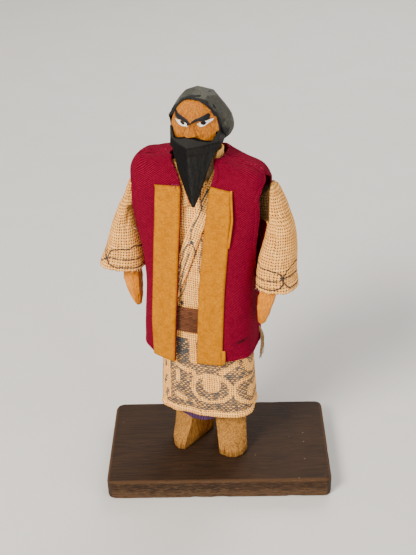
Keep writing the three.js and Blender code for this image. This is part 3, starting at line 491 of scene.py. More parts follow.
def burlap(name, pitch=1.5, pale="#F6B35E", mid="#DA9140", hole="#33200C", ink=None, shade=1.0, speckle=0.62):
    """Coarse plain weave with open corners, slubs, loose fibres, and dye printed on the thread tops where ink is set."""
    g = Graph(name)
    u, v, _ = g.uv()
    wob = g.noise(g.xyz(u, v, 3.0), 0.16, 2.0) - 0.5
    wob2 = g.noise(g.xyz(u, v, 11.0), 0.13, 2.0) - 0.5
    X_, Y_ = (u + wob * 1.8) / pitch, (v + wob2 * 1.8) / pitch
    ix, iy = g.floor(X_), g.floor(Y_)
    fx, fy = g.fract(X_) - 0.5, g.fract(Y_) - 0.5
    warp_w = g.white(g.xyz(ix, 3.0, 0.0))
    weft_w = g.white(g.xyz(7.0, iy, 0.0))
    slub_x = g.noise(g.xyz(ix * 9.7, Y_ * 0.35, 1.0), 1.0, 1.0)
    slub_y = g.noise(g.xyz(X_ * 0.35, iy * 8.3, 5.0), 1.0, 1.0)
    wx_h = 0.21 + warp_w * 0.09 + slub_x * 0.20  # half widths of the threads, in pitches
    wy_h = 0.21 + weft_w * 0.09 + slub_y * 0.20
    px = g.max(1.0 - g.pow(g.abs(fx) / wx_h, 2.0), 0.0)
    py = g.max(1.0 - g.pow(g.abs(fy) / wy_h, 2.0), 0.0)
    par = 1.0 - g.mod(ix + iy, 2.0) * 2.0
    hx = g.pow(px, 0.5) * (0.60 + 0.40 * par * (1.0 - g.pow(g.abs(fy) * 2.0, 2.0)))
    hy = g.pow(py, 0.5) * (0.60 - 0.40 * par * (1.0 - g.pow(g.abs(fx) * 2.0, 2.0)))
    H = g.max(hx, hy)
    on_x = g.gt(hx, hy)
    fib_x = g.noise(g.xyz(u * 9.0, v * 1.1, 0.0), 1.0, 2.0, 0.7)
    fib_y = g.noise(g.xyz(u * 1.1, v * 9.0, 9.0), 1.0, 2.0, 0.7)
    fib = fib_y + (fib_x - fib_y) * on_x
    big = g.noise(g.xyz(u, v, 20.0), 0.045, 3.0)
    thread = g.white(g.xyz(ix * on_x, iy * (1.0 - on_x), 2.0))
    cell = g.white(g.xyz(ix, iy, 9.0))
    col = g.mix(g.step(0.2, 0.8, fib * 0.4 + thread * 0.25 + big * 0.15 + cell * 0.25), mid, pale)
    col = g.mix(g.step(0.86, 0.96, cell * 0.7 + fib * 0.4) * 0.6, col, "#FFDCA0")
    if ink:
        jag = (g.white(g.xyz(ix, iy, 4.0)) - 0.5) * 0.9
        d = g.attr("print") + jag * g.attr("jag")
        mask = g.step(0.22, -0.22, d)
        solid = g.attr("ink")
        half = g.white(g.xyz(ix + on_x * 31.0, iy, 6.0))  # each thread's float takes more or less dye by itself
        hit = g.step(0.25, 0.85, on_x * 0.42 + half * 0.42 + (fib - 0.5) * 0.5 + speckle * 0.30 + solid * 0.6 + (g.noise(g.xyz(u, v, 31.0), 0.30, 2.0) - 0.5) * 0.9)
        col = g.mix(mask * (0.22 + 0.72 * hit), col, ink)
    # thread tops paler, partly frayed fibre and partly painted light; the low places of the weave get painted shade,
    # and its open corners are painted near black as painted shade seen through them
    col = g.shade(col, (0.44 + 0.76 * H) * shade)
    hole_shade_mask = g.step(0.46, 0.06, H)
    col = g.mix(hole_shade_mask * 0.95, col, hole)
    # painted shade: where the dark attribute is set the cloth is darkened towards near black (the armhole recess;
    # beside the band and under the lapel it also stands for a darker weave)
    col = g.mix(g.attr("dark") * 0.94, col, g.shade(g.mix(0.5, "#120B05", "#2C1E0E"), 0.4 + H))
    height = H * 0.36 + fib * 0.10
    return g.done(col, 0.92, height, 1.0, spec=0.12, sheen=0.03, sheen_tint="#F0C080")


def twill(name, base="#7C0623", light="#AE1640", dark="#3C0314"):
    """Fine diagonal twill with slight fading, lint and a dark smudge where the smudge attribute is set."""
    g = Graph(name)
    u, v, _ = g.uv()
    wob = g.noise(g.xyz(u, v, 3.0), 0.25, 2.0) - 0.5
    P = 0.88
    d = (u * 0.66 + v * 1.0 + wob * 0.7) / P
    rib = g.abs(g.fract(d) - 0.5) * 2.0
    k = g.floor(d)
    along_ = (u * 1.0 - v * 0.66) / 0.72
    bead = g.abs(g.fract(along_ + g.mod(k, 2.0) * 0.5) - 0.5) * 2.0
    H = g.pow(1.0 - rib * rib, 0.7) * (0.6 + 0.4 * (1.0 - bead * bead))
    tv = g.white(g.xyz(k, g.floor(along_ + g.mod(k, 2.0) * 0.5), 0.0))
    cloud = g.noise(g.xyz(u, v, 8.0), 0.07, 4.0, 0.6)
    fine = g.noise(g.xyz(u, v, 1.0), 2.3, 2.0, 0.6)
    col = g.mix(g.step(0.15, 0.75, H * 0.85 + tv * 0.12), dark, base)
    col = g.mix(g.step(0.62, 1.05, H * 0.85 + tv * 0.18) * 0.55, col, light)
    col = g.shade(col, 0.80 + cloud * 0.26)
    lint = g.step(0.72, 0.80, fine) * 0.30
    col = g.mix(lint, col, "#C03050")
    col = g.mix(g.min(g.attr("smudge") * (0.55 + 0.7 * fine), 0.95), col, "#160A0C")
    edge = g.attr("edge")
    worn = g.step(1.1, 0.1, edge) * g.step(0.45, 0.7, g.noise(g.xyz(u, v, 30.0), 0.6, 3.0))
    col = g.mix(worn * 0.45, col, "#B0304C")
    stitch = g.step(0.42, 0.12, g.abs(edge - 2.5))
    height = H * 0.16 + fine * 0.06 + cloud * 0.30 - stitch * 0.16
    return g.done(col, 0.92, height, 1.0, spec=0.06, sheen=0.03, sheen_tint="#C02040")


def yellow(name):
    """Close felted cloth, fuzzy, mottled with orange, with a faint weave."""
    g = Graph(name)
    u, v, _ = g.uv()
    a = g.noise(g.xyz(u, v, 0.0), 0.22, 4.0, 0.65)
    b = g.noise(g.xyz(u, v, 5.0), 1.6, 3.0, 0.7)
    wx = g.abs(g.fract(u / 0.75 + (b - 0.5) * 0.5) - 0.5) * 2.0
    wy = g.abs(g.fract(v / 0.75 + (a - 0.5) * 0.8) - 0.5) * 2.0
    W = 1.0 - g.min(wx, wy)
    thread = g.white(g.xyz(g.floor(u / 0.75), g.floor(v / 0.75), 0.0))
    col = g.mix(g.step(0.3, 0.7, a * 0.5 + b * 0.35 + thread * 0.15), "#B06800", "#D68600")
    # bright flecks: painted highlights on the fuzz
    col = g.mix(g.step(0.60, 0.78, b) * 0.4, col, "#F8A200")
    col = g.mix(g.step(0.40, 0.28, b) * 0.35, col, "#945400")
    col = g.mix(g.step(0.8, 0.0, g.attr("edge")) * 0.40, col, "#8A4A00")
    col = g.shade(col, 0.88 + 0.16 * (1.0 - W * W))
    height = (1.0 - W * W) * 0.09 + b * 0.16 + a * 0.12
    return g.done(col, 0.9, height, 1.2, spec=0.05, sheen=0.03, sheen_tint="#FFB000")


def ribbed(name):
    """The sash: brown cloth with fine crosswise ribs that wander."""
    g = Graph(name)
    u, v, _ = g.uv()
    w = g.noise(g.xyz(u * 1.4, v * 0.5, 0.0), 0.45, 3.0) - 0.5
    d = v / 0.95 + w * 1.9
    r = g.abs(g.fract(d) - 0.5) * 2.0
    H = 1.0 - r * r
    f = g.noise(g.xyz(u * 1.2, v * 5.0, 3.0), 1.0, 3.0, 0.7)
    k = g.white(g.xyz(g.floor(d), g.floor(u / 2.2), 0.0))
    col = g.mix(g.step(0.25, 0.85, H * 0.5 + f * 0.3 + k * 0.3), "#2A140A", "#75462C")
    return g.done(col, 0.9, H * 0.18 + f * 0.12, 1.0, spec=0.1, sheen=0.03)


def violet(name):
    g = Graph(name)
    u, v, _ = g.uv()
    f = g.noise(g.xyz(u * 3.0, v * 1.0, 0.0), 0.9, 3.0, 0.7)
    wx = g.abs(g.fract(u / 0.9) - 0.5) * 2.0
    wy = g.abs(g.fract(v / 0.9 + g.mod(g.floor(u / 0.9), 2.0) * 0.5) - 0.5) * 2.0
    H = (1.0 - wx * wx) * (0.6 + 0.4 * (1.0 - wy * wy))
    col = g.mix(g.step(0.2, 0.9, H * 0.5 + f * 0.5), "#24142E", "#664468")
    return g.done(col, 0.8, H * 0.16 + f * 0.1, 1.0, spec=0.12, sheen=0.06, sheen_tint="#B79BE0")


def wood(name, light, mid, dark, grain=(1.0, 1.0, 0.12), axis_noise=0.5, rough=0.55, pores=0.5, spec=0.4, extra=None):
    """Carved wood: long grain lines, pores, knife shading and grooves along the grain that are darker."""
    g = Graph(name)
    x, y, z = g.here()
    sx, sy, sz = grain
    big = g.noise(g.xyz(x, y, z * 0.6), 0.10, 2.0)
    rings = g.noise(g.xyz(x * sx + big * 5.0, y * sy, z * sz), 0.55, 3.0, 0.6)
    fine = g.noise(g.xyz(x * sx * 4.0, y * sy * 4.0, z * sz * 3.0), 0.9, 3.0, 0.7)
    line = g.abs(g.fract(rings * 7.0) - 0.5) * 2.0
    pore = g.step(0.66, 0.74, g.noise(g.xyz(x * sx * 6.0, y * sy * 6.0, z * sz * 5.0), 1.0, 1.0))
    col = g.mix(g.step(0.2, 0.8, line * 0.45 + fine * 0.6), mid, light)
    col = g.mix(pore * pores, col, dark)
    blot = g.noise(g.xyz(x, y, z + 50.0), 0.22, 4.0, 0.6)
    col = g.mix(g.step(0.52, 0.78, blot) * 0.35, col, dark)
    if extra:
        col = extra(g, col, fine, (x, y, z))
    # darker colour along grooves that the bump also cuts in
    groove = g.step(0.60, 0.70, g.noise(g.xyz(x * sx * 1.9, y * sy * 1.9, z * sz * 1.1 + 30.0), 1.0, 3.0, 0.6))
    col = g.mix(groove * 0.35, col, dark)
    height = line * 0.08 + fine * 0.10 - pore * 0.10 - groove * 0.16
    return g.done(col, rough + fine * 0.15, height, 1.0, spec=spec)


# ---------------------------------------------------------------- finishes
def face_paint(g, col, fine, p):
    """Painted eyes, brows and pupils over the wood."""
    jag = (fine - 0.5) * 0.25
    white = g.step(0.10, -0.10, g.attr("eye") + jag * 0.6)
    brow = g.step(0.12, -0.12, g.attr("brow") + jag)
    pupil = g.step(0.10, -0.10, g.attr("pupil") + jag * 0.3)
    iris = g.step(0.12, -0.12, g.attr("iris"))
    shade = g.attr("shade")
    col = g.mix(shade * 0.75, col, "#6A2C06")
    col = g.mix(white, col, g.mix(g.attr("corner"), g.mix(fine, "#FFFFFF", "#FFF4DC"), "#F4D494"))
    col = g.mix(iris, col, "#7A4410")
    col = g.mix(pupil, col, "#050404")
    col = g.mix(brow, col, g.mix(fine, "#060607", "#17181A"))
    return g.mix(g.step(0.15, -0.25, g.attr("hairline") + jag * 2.0), col, "#0B0B0C")


def foot_low_darkening(g, col, fine, p):
    x, y, z = p
    # the feet are darker towards their bottom
    low = g.step(7.0, 0.0, z + (fine - 0.5) * 4.0)
    return g.mix(low * 0.35, col, "#54300E")


SKIN = wood("carved_face", "#CC7A14", "#9A5408", "#5A2C06", grain=(0.8, 0.8, 0.22), rough=0.5, pores=0.35, spec=0.25, extra=face_paint)
LIMB = wood("carved_hand", "#F09410", "#C87004", "#7A4204", grain=(1.0, 1.0, 0.07), rough=0.5, pores=0.7, spec=0.25)
FOOTW = wood("carved_foot", "#C4863A", "#80501A", "#38200A", grain=(1.0, 1.0, 0.07), rough=0.6, pores=0.55, spec=0.2, extra=foot_low_darkening)
RAW = wood("raw_wood", "#D8B98A", "#C39D68", "#8D6A3E", grain=(0.9, 0.9, 0.08), rough=0.7, pores=0.4)


def painted(name, base, light, dark, under, rough=0.5, rubbed_and_highlight_amount=0.5, spec=0.3):
    """Thin paint on carved wood: streaks along the cuts, rubbed edges, specks of wood showing. The rubbed ridge is also
    a painted highlight on the beard, and the facet value scales the tone: at random on the hair, as painted light and
    shade on the beard.
    """
    g = Graph(name)
    x, y, z = g.here()
    streak = g.noise(g.xyz(x * 1.6, y * 1.6, z * 0.35), 1.0, 4.0, 0.65)
    cloud = g.noise(g.xyz(x, y, z), 0.16, 3.0, 0.55)
    fine = g.noise(g.xyz(x, y, z), 2.6, 2.0, 0.6)
    col = g.mix(g.step(0.30, 0.70, streak * 0.75 + cloud * 0.25), base, light)
    col = g.mix(g.attr("cut") * 0.96, col, g.mix(streak, dark, g.shade(g.mix(0.35, dark, base), 0.9)))
    worn = g.attr("ridge") * g.step(0.35, 0.7, fine * 0.6 + streak * 0.4)
    col = g.mix(worn * rubbed_and_highlight_amount, col, under)
    col = g.shade(col, 0.72 + g.attr("facet") * 0.56)
    lift = g.step(0.5, 0.9, g.attr("top")) * 0.55
    col = g.mix(lift, col, g.shade(g.mix(0.6, light, under), 0.8 + streak * 0.4))
    height = streak * 0.28 + fine * 0.06
    return g.done(col, rough + streak * 0.2 - worn * 0.08, height, 1.0, spec=spec)


HAIR = painted("painted_hair", "#33332C", "#524F44", "#060708", "#6E6654", rough=0.6, rubbed_and_highlight_amount=0.45, spec=0.25)
BEARD = painted("painted_beard", "#0A0908", "#1A1815", "#030202", "#3A3834", rough=0.62, rubbed_and_highlight_amount=0.45, spec=0.12)


def plinth_finish():
    """Dark stain over long-grained softwood, with end grain, scuffs, lighter rubbed edges and specks of dust."""
    g = Graph("stained_plinth")
    x, y, z = g.row_mm()
    wav = g.noise(g.xyz(x * 0.02, y * 0.09, z * 0.09), 1.0, 3.0, 0.5)
    rings = g.noise(g.xyz(x * 0.012, y * 0.32 + wav * 2.2, z * 0.4), 1.0, 3.0, 0.6)
    line = g.abs(g.fract(rings * 9.0) - 0.5) * 2.0
    fine = g.noise(g.xyz(x * 0.10, y * 2.4, z * 2.4), 1.0, 3.0, 0.7)
    speck = g.noise(g.xyz(x, y, z), 1.7, 3.0, 0.7)
    cloud = g.noise(g.xyz(x, y, z), 0.035, 4.0, 0.6)
    col = g.mix(g.step(0.2, 0.85, line * 0.5 + fine * 0.5), "#24160A", "#382412")
    col = g.mix(g.step(0.4, 0.75, cloud) * 0.4, col, "#3E2818")
    edge = g.attr("edge")
    rub = g.step(0.25, 0.8, edge * 0.7 + speck * 0.5)
    col = g.mix(rub * 0.5, col, "#5E4026")
    front = g.step(-33.2, -33.8, y)
    low = g.step(8.5, 2.0, z + (speck - 0.5) * 7.0)
    bare = front * g.step(0.46, 0.72, g.noise(g.xyz(x * 0.30, 1.0, z * 1.6 + 9.0), 0.8, 5.0, 0.75) + low * 0.16)
    col = g.mix(bare * 0.68, col, g.mix(fine, "#4E3420", "#7A5A3C"))
    scuff = g.step(0.64, 0.76, g.noise(g.xyz(x * 0.25, y * 0.9, z * 1.2 + 9.0), 0.6, 4.0, 0.7))
    col = g.mix(scuff * 0.30, col, "#6E5238")
    dust = g.step(0.075, 0.045, g.voronoi(g.xyz(x, y, z), 0.16)) * g.step(0.45, 0.66, cloud)
    col = g.mix(dust * 0.5, col, "#8A7660")
    height = line * 0.06 + fine * 0.12 + speck * 0.06 + scuff * 0.05
    return g.done(col, 0.58 + fine * 0.12 + rub * 0.12 + scuff * 0.15, height, 1.0, spec=0.2)


def steel(name):
    g = Graph(name)
    x, y, z = g.row_mm()
    s = g.noise(g.xyz(x * 3.0, y * 3.0, z * 9.0), 1.0, 3.0, 0.6)
    r = g.step(0.55, 0.75, g.noise(g.xyz(x, y, z), 0.8, 3.0))
    col = g.mix(r * 0.5, g.mix(s, "#8F9296", "#B9BBBE"), "#6B4A33")
    return g.done(col, 0.32 + s * 0.15 + r * 0.25, s * 0.05, 1.0, metal=0.9)


def straw(name, a="#CDA877", b="#F0D9AE"):
    g = Graph(name)
    x, y, z = g.row_mm()
    s = g.noise(g.xyz(x * 4.0, y * 4.0, z * 1.5), 1.0, 2.0)
    return g.done(g.mix(g.step(0.3, 0.7, s), a, b), 0.85, s * 0.05, 1.0, spec=0.2, sheen=0.1)


BURLAP = burlap("printed_burlap", pitch=1.25, pale="#FFBC64", mid="#E89C4C", ink="#1C3C48", speckle=0.85, shade=1.42)
SLEEVE_CLOTH = burlap("sleeve_burlap", pitch=1.5, pale="#FFB860", mid="#E09444", ink="#1C2A34", speckle=0.8, shade=1.2)
TWILL = twill("crimson_twill")
TWILL_BACK = TWILL
YELLOW = yellow("yellow_felt")
SASH = ribbed("brown_sash")
VIOLET = violet("violet_cloth")
PLINTH = plinth_finish()
STEEL = steel("plain_steel")
STRAW = straw("loose_straw")
FRAY = straw("frayed_sash", "#5A4026", "#C09A66")
THREAD = straw("crimson_thread", "#7A1230", "#B8405A")

for n in ("body_block", "neck_dowel", "leg_dowel_left", "leg_dowel_right"):
    NODES[n].data.materials.clear()
    NODES[n].data.materials.append(RAW)
for n in ("plinth_screw_left", "plinth_screw_right", "shoulder_nail_left", "shoulder_nail_right"):
    NODES[n].data.materials.clear()
    NODES[n].data.materials.append(STEEL)
    for p in NODES[n].data.polygons:
        p.use_smooth = False


def dress(ob, mat, body, slot, *nodes):
    ob.data.materials.clear()
    ob.data.materials.append(mat)
    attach(ob, body)
    if nodes:
        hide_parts(*nodes)
    return ob


# ---------------------------------------------------------------- carved pieces: finer skins of the frame's own solids
def carve(node, name, voxel, blur, sculpt, paint):
    """Remeshes a node finely, softens its knife edges, then moves its points by sculpt(points, normals) and stores paint(points, normals)."""
    src = NODES[node]
    me = src.data.copy()
    me.transform(Matrix.Scale(1000, 4))
    tmp = bpy.data.objects.new(name + "_tmp", me)
    bpy.context.scene.collection.objects.link(tmp)
    r = tmp.modifiers.new("r", "REMESH")
    r.mode, r.voxel_size, r.adaptivity = "VOXEL", voxel, 0.0
    if blur:
        s = tmp.modifiers.new("s", "SMOOTH")
        s.factor, s.iterations = 0.5, blur
    dg = bpy.context.evaluated_depsgraph_get()
    ev = tmp.evaluated_get(dg)
    got = bpy.data.meshes.new_from_object(ev)
    n = len(got.vertices)
    co = np.zeros(n * 3, np.float32)
    got.vertices.foreach_get("co", co)
    co = co.reshape(-1, 3).astype(float)
    no = np.zeros(n * 3, np.float32)
    got.vertex_normals.foreach_get("vector", no)
    no = no.reshape(-1, 3).astype(float)
    F = np.array([list(p.vertices) if len(p.vertices) == 4 else [*p.vertices, p.vertices[-1]] for p in got.polygons])
    bpy.data.objects.remove(tmp)
    bpy.data.meshes.remove(me)
    bpy.data.meshes.remove(got)
    fig = to_fig(co / 1000)
    c, s = math.cos(-FIG_YAW), math.sin(-FIG_YAW)
    nf = np.stack([c * no[:, 0] - s * no[:, 1], s * no[:, 0] + c * no[:, 1], no[:, 2]], -1)
    moved = sculpt(fig, nf)
    ob = build(name, to_row(moved), F, None, paint(fig, nf))
    return ob


def lump(p, scale, seed, octaves=2):
    """Cheap smooth noise in -1..1 from sines, for gentle unevenness."""
    r = np.random.default_rng(seed)
    out = np.zeros(p.shape[:-1])
    for o in range(octaves):
        for _ in range(5):
            k = r.normal(size=p.shape[-1])
            k /= np.linalg.norm(k)
            out += np.sin(p @ k * scale * (2**o) * (0.7 + 0.6 * r.random()) + r.random() * 6.28) / (5 * 1.6**o)
    return out


def head_local(p):
    x = p[..., 0] - NECK_X
    c, s = math.cos(-HEAD_YAW), math.sin(-HEAD_YAW)
    return np.stack([c * x - s * p[..., 1], s * x + c * p[..., 1], p[..., 2]], -1)


EYE_L = [(3.2, 191.3), (4.1, 191.9), (5.6, 192.5), (7.5, 192.8), (9.8, 193.1), (9.5, 192.2), (7.9, 191.1), (6.6, 190.3), (4.8, 189.7), (3.7, 190.3)]
EYE_R = [(-9.3, 191.5), (-7.4, 191.9), (-5.0, 192.1), (-3.3, 191.7), (-1.9, 191.2), (-0.9, 190.7), (-1.3, 190.1), (-2.5, 189.5), (-4.5, 189.2), (-6.4, 189.7), (-8.1, 190.4)]
BROW_L = [(0.7, 191.5), (2.1, 192.3), (3.9, 192.9), (7.3, 193.1), (7.9, 193.5), (8.0, 194.7), (7.4, 195.4), (6.0, 194.9), (4.1, 194.1), (2.5, 193.5), (1.2, 192.6)]
BROW_R = [(-8.9, 195.0), (-8.3, 193.3), (-6.6, 193.2), (-4.5, 192.9), (-2.6, 192.3), (-0.4, 191.5), (0.2, 191.8), (-0.7, 192.7), (-2.7, 193.5), (-5.2, 194.2), (-7.6, 194.5)]
HAIRLINE = [(-13, 186), (-11.4, 190.2), (-10.2, 194.6), (-7.9, 198.2), (-4.7, 200.7), (-2.5, 202.0), (-0.3, 202.3), (1.2, 202.3), (3.3, 201.7), (5.6, 200.3), (8.7, 198.0), (10.2, 194.9), (11.1, 190.6), (11.7, 187.5), (12.5, 170), (-13, 170)]


def face_sculpt(p, n):
    q = head_local(p)
    f = q[:, [0, 2]]
    front = smooth(-2.0, -5.0, q[:, 1])
    out = p.copy()
    # eyes lie a little sunk under a V of brows; cheeks have a crease beside the nose
    e = np.minimum(d_shape(f, EYE_L), d_shape(f, EYE_R))
    b = np.minimum(d_shape(f, BROW_L), d_shape(f, BROW_R))
    sink = -0.28 * smooth(0.5, -0.25, e) + 0.30 * smooth(0.5, -0.3, b)
    crease = np.minimum(d_poly(f, [(-0.9, 190.4), (-2.9, 187.2), (-4.4, 185.0)], 0), d_poly(f, [(2.2, 190.2), (4.4, 187.2), (5.6, 184.6)], 0))
    sink -= 0.22 * np.exp(-(crease / 0.55) ** 2)
    fold = np.minimum(d_poly(f, [(-2.6, 188.7), (-6.0, 188.3), (-9.0, 189.6)], 0), d_poly(f, [(4.6, 188.8), (8.0, 189.2), (10.4, 191.2)], 0))
    sink -= 0.14 * np.exp(-(fold / 0.5) ** 2)
    out += n * (sink * front)[:, None]
    skin = np.hypot(q[:, 0], q[:, 1]) > 5.5
    out += n * (0.07 * lump(p, 0.75, 3) * skin)[:, None]
    return out


def face_marks(p, n):
    q = head_local(p)
    f = q[:, [0, 2]]
    back = np.where(q[:, 1] > -2.5, 9.0, 0.0)
    eye = np.minimum(d_shape(f, EYE_L), d_shape(f, EYE_R)) + back
    brow = np.minimum(d_shape(f, BROW_L), d_shape(f, BROW_R) - 0.28) + back - 0.16 - 0.22 * smooth(3, 8, np.abs(f[:, 0]))
    pupil = np.minimum(d_disc(f, (6.2, 191.7), 1.15, 1.15), d_disc(f, (-4.0, 190.95), 1.15, 1.1)) + back
    pupil = np.maximum(pupil, np.minimum(d_shape(f, EYE_L), d_shape(f, EYE_R)) - 0.12)
    iris = np.minimum(d_disc(f, (6.0, 191.7), 1.15, 1.1), d_disc(f, (-4.3, 191.1), 1.2, 1.1)) + back
    iris = np.maximum(iris, np.minimum(d_shape(f, EYE_L), d_shape(f, EYE_R)))
    crease = np.minimum(d_poly(f, [(-0.9, 190.4), (-2.9, 187.2), (-4.4, 185.0)], 0), d_poly(f, [(2.2, 190.2), (4.4, 187.2), (5.6, 184.6)], 0))
    shade = 0.55 * np.exp(-(crease / 0.5) ** 2) + 0.6 * np.exp(-(np.maximum(eye, 0) / 0.45) ** 2) * (eye > -0.1) + 0.35 * np.exp(-(np.maximum(brow, 0) / 0.8) ** 2)
    shade = np.where(back > 0, 0, np.clip(shade, 0, 1))
    corner = smooth(1.6, 0.2, np.minimum(np.abs(f[:, 0] - 3.6), np.abs(f[:, 0] + 8.6)))
    jaw = (q[:, 2] < 188.5) & (q[:, 1] > -4.5) | (q[:, 2] < 182) | (np.abs(q[:, 0]) > 10.4) & (q[:, 2] < 186.5)
    hairline = np.where((q[:, 1] > 1.5) | jaw, -1.0, -d_shape(f, HAIRLINE))
    return {"eye": eye, "brow": brow, "pupil": pupil, "iris": iris, "shade": shade, "corner": corner, "hairline": hairline}

head = dress(carve("head", "face", 0.27, 2, face_sculpt, face_marks), SKIN, "head_body", "face_wood", "head")

WINDOW = [(-10.9, 160), (10.9, 160), (11.7, 184), (11.2, 189.6), (9.4, 195), (6.4, 199.2), (3.2, 201.4), (0, 202.1), (-3.2, 201.4), (-6.4, 199.2), (-9.4, 195), (-11.2, 189.6), (-11.7, 184)]


def knife(directions, depth, seed):
    """Flat knife cuts: everything beyond each plane is pared away. Returns the cutter and the active cut of each point."""
    r = np.random.default_rng(seed)
    D = np.array(directions, float)
    D /= np.linalg.norm(D, axis=1, keepdims=True)
    deep = depth * (0.7 + 0.6 * r.random(len(D)))
    tone = r.random(len(D))

    def cutter(q):
        far = (q @ D.T)
        lim = far.max(0) - deep
        over = far - lim
        pared = q.copy()
        for i in range(len(D)):
            e = np.maximum(pared @ D[i] - lim[i], 0)
            pared -= e[:, None] * D[i]
        best = over.argmax(1)
        top2 = np.sort(over, 1)[:, -2:]
        return pared, np.where(over.max(1) > 0, tone[best], 0.5), np.clip(top2[:, 1] - top2[:, 0], 0, 9), over.max(1)
    return cutter


HAIR_CUTS = knife([(math.cos(a) * math.cos(e), math.sin(a) * math.cos(e), math.sin(e)) for e, n, o in ((0.05, 9, 0.2), (0.62, 8, 0.55), (1.12, 5, 0.1)) for a in [o + 2 * math.pi * k / n for k in range(n)]], 0.85, 12)
BACK = math.cos(HEAD_YAW), math.sin(HEAD_YAW)


def head_back(q):
    """Head-local points back to the figure's frame."""
    c, s_ = BACK
    return np.stack([c * q[..., 0] - s_ * q[..., 1] + NECK_X, s_ * q[..., 0] + c * q[..., 1], q[..., 2]], -1)


def hair_sculpt(p, n):
    q = head_local(p)
    pared, tone, edge, over = HAIR_CUTS(q)
    nape = smooth(7.5, 10.5, q[:, 0]) * smooth(178.5, 181, q[:, 2]) * smooth(191, 186.5, q[:, 2]) * smooth(-4, 0, q[:, 1])
    pared[:, 0] += 1.1 * nape
    tip = smooth(-8.5, -10.5, q[:, 0]) * np.exp(-((q[:, 2] - 191.0) / 1.8) ** 2) * smooth(1, -3, q[:, 1])
    pared[:, 0] -= 0.9 * tip
    return head_back(pared) + n * (0.05 * lump(p, 0.5, 5))[:, None]


def hair_marks(p, n):
    q = head_local(p)
    pared, tone, seam, over = HAIR_CUTS(q)
    d = d_shape(q[:, [0, 2]], WINDOW)
    front = q[:, 1] < 0.5
    nl = np.stack([math.cos(-HEAD_YAW) * n[:, 0] - math.sin(-HEAD_YAW) * n[:, 1], math.sin(-HEAD_YAW) * n[:, 0] + math.cos(-HEAD_YAW) * n[:, 1], n[:, 2]], -1)
    inward = -(nl[:, 0] * q[:, 0] + nl[:, 2] * (q[:, 2] - 186)) / np.maximum(np.hypot(q[:, 0], q[:, 2] - 186), 1e-6)
    wide = 2.6 - 0.4 * smooth(2, 9, q[:, 0]) - 1.2 * smooth(194, 200, q[:, 2])
    cut = np.maximum(smooth(wide + 0.4, wide - 0.3, d + 0.4 * lump(p, 1.1, 9)) * front * smooth(0.2, -0.35, n[:, 1] - 0.3 * (n[:, 2] > 0.6)), smooth(0.0, 0.5, inward) * (q[:, 1] < 1.5))
    # faces turned downwards are painted black too: painted shade under the hair
    low = smooth(-0.2, -0.8, n[:, 2])
    cut = np.maximum(cut, low)
    ridge = np.exp(-(seam / 0.16) ** 2) * (over > 0)
    return {"cut": cut, "ridge": np.clip(0.35 + 0.5 * ridge, 0, 1) * (cut < 0.5), "top": smooth(0.2, 0.9, n[:, 2]) * 0.3, "facet": 0.15 + 0.7 * tone}


hair = dress(carve("hair", "carved_hair", 0.3, 1, hair_sculpt, hair_marks), HAIR, "head_body", "hair_paint", "hair")


def beard_sculpt(p, n):
    q = head_local(p)
    cx = np.interp(q[:, 2], [152.8, 158.0, 164.4, 170.4, 175.0, 178.2], [3.2, 2.7, 2.2, 1.3, 0.5, 0.2])
    half = np.interp(q[:, 2], [152.8, 158.0, 164.4, 170.4, 175.0, 178.2], [1.2, 3.1, 5.6, 8.0, 9.9, 11.2])
    w = (q[:, 0] - cx) / half
    front = smooth(0.1, -0.5, n[:, 1])
    flute = np.abs(((w * 3.4 + 0.35 * np.sin(q[:, 2] * 0.22)) % 1) - 0.5) * 2
    low = smooth(181, 177, q[:, 2])
    band = np.exp(-(((q[:, 2] - 180.2) - 0.10 * np.abs(q[:, 0])) / 0.8) ** 2)
    return p + n * ((-0.24 * (flute - 0.5) * low + 0.08 * lump(p, 0.7, 8) - 0.30 * band * smooth(13, 11, np.abs(q[:, 0]))) * front)[:, None]


def beard_marks(p, n):
    q = head_local(p)
    top = smooth(180.3, 181.6, q[:, 2] - 0.08 * np.abs(q[:, 0])) * smooth(0.2, -0.3, n[:, 1])
    rim = smooth(0.35, 0.8, n[:, 2]) * smooth(180, 183, q[:, 2])
    cx = np.interp(q[:, 2], [152.8, 158.0, 164.4, 170.4, 175.0, 178.2], [3.2, 2.7, 2.2, 1.3, 0.5, 0.2])
    # ridge: rubbed paint along the centre ridge, and a painted highlight there as well
    ridge = np.exp(-((q[:, 0] - cx) / 0.8) ** 2) * smooth(181, 178, q[:, 2])
    dim = 0.9 * smooth(0.2, -0.2, q[:, 0] - cx) * smooth(181.5, 180, q[:, 2])  # the half turned from the light is painted blacker
    # facet: the beard's half towards the light is painted lighter and the other half darker, painted light and shade
    return {"cut": np.maximum(rim, dim), "ridge": 0.7 * ridge + 0.15, "top": np.clip(top * 1.1 - rim, 0, 1), "facet": 0.5 + 0.5 * np.tanh((q[:, 0] - cx) / 0.25) * smooth(182, 180, q[:, 2])}


beard = dress(carve("beard", "carved_beard", 0.3, 2, beard_sculpt, beard_marks), BEARD, "head_body", "beard_paint", "beard")


def hand_sculpt(side):
    s = 1 if side == "left" else -1

    def f(p, n):
        low = smooth(112, 104, p[:, 2])
        return p + n * ((0.12 * lump(p, 0.6, 11 + s) + 0.07 * np.sin(p[:, 2] * 0.9 + p[:, 1])) * low)[:, None]
    return f


for side in ("left", "right"):
    dress(carve("arm_" + side, "carved_arm_" + side, 0.26, 2, hand_sculpt(side), lambda p, n: {"ridge": 0 * p[:, 0]}), LIMB, "arm_%s_body" % side, "limb_wood", "arm_" + side)
    dress(carve("foot_" + side, "carved_foot_" + side, 0.22, 1, lambda p, n: p + n * (0.10 * lump(p, 0.55, 21) * (p[:, 2] > 0.3))[:, None], lambda p, n: {"ridge": 0 * p[:, 0]}), FOOTW, "figure", "foot_wood", "foot_" + side)


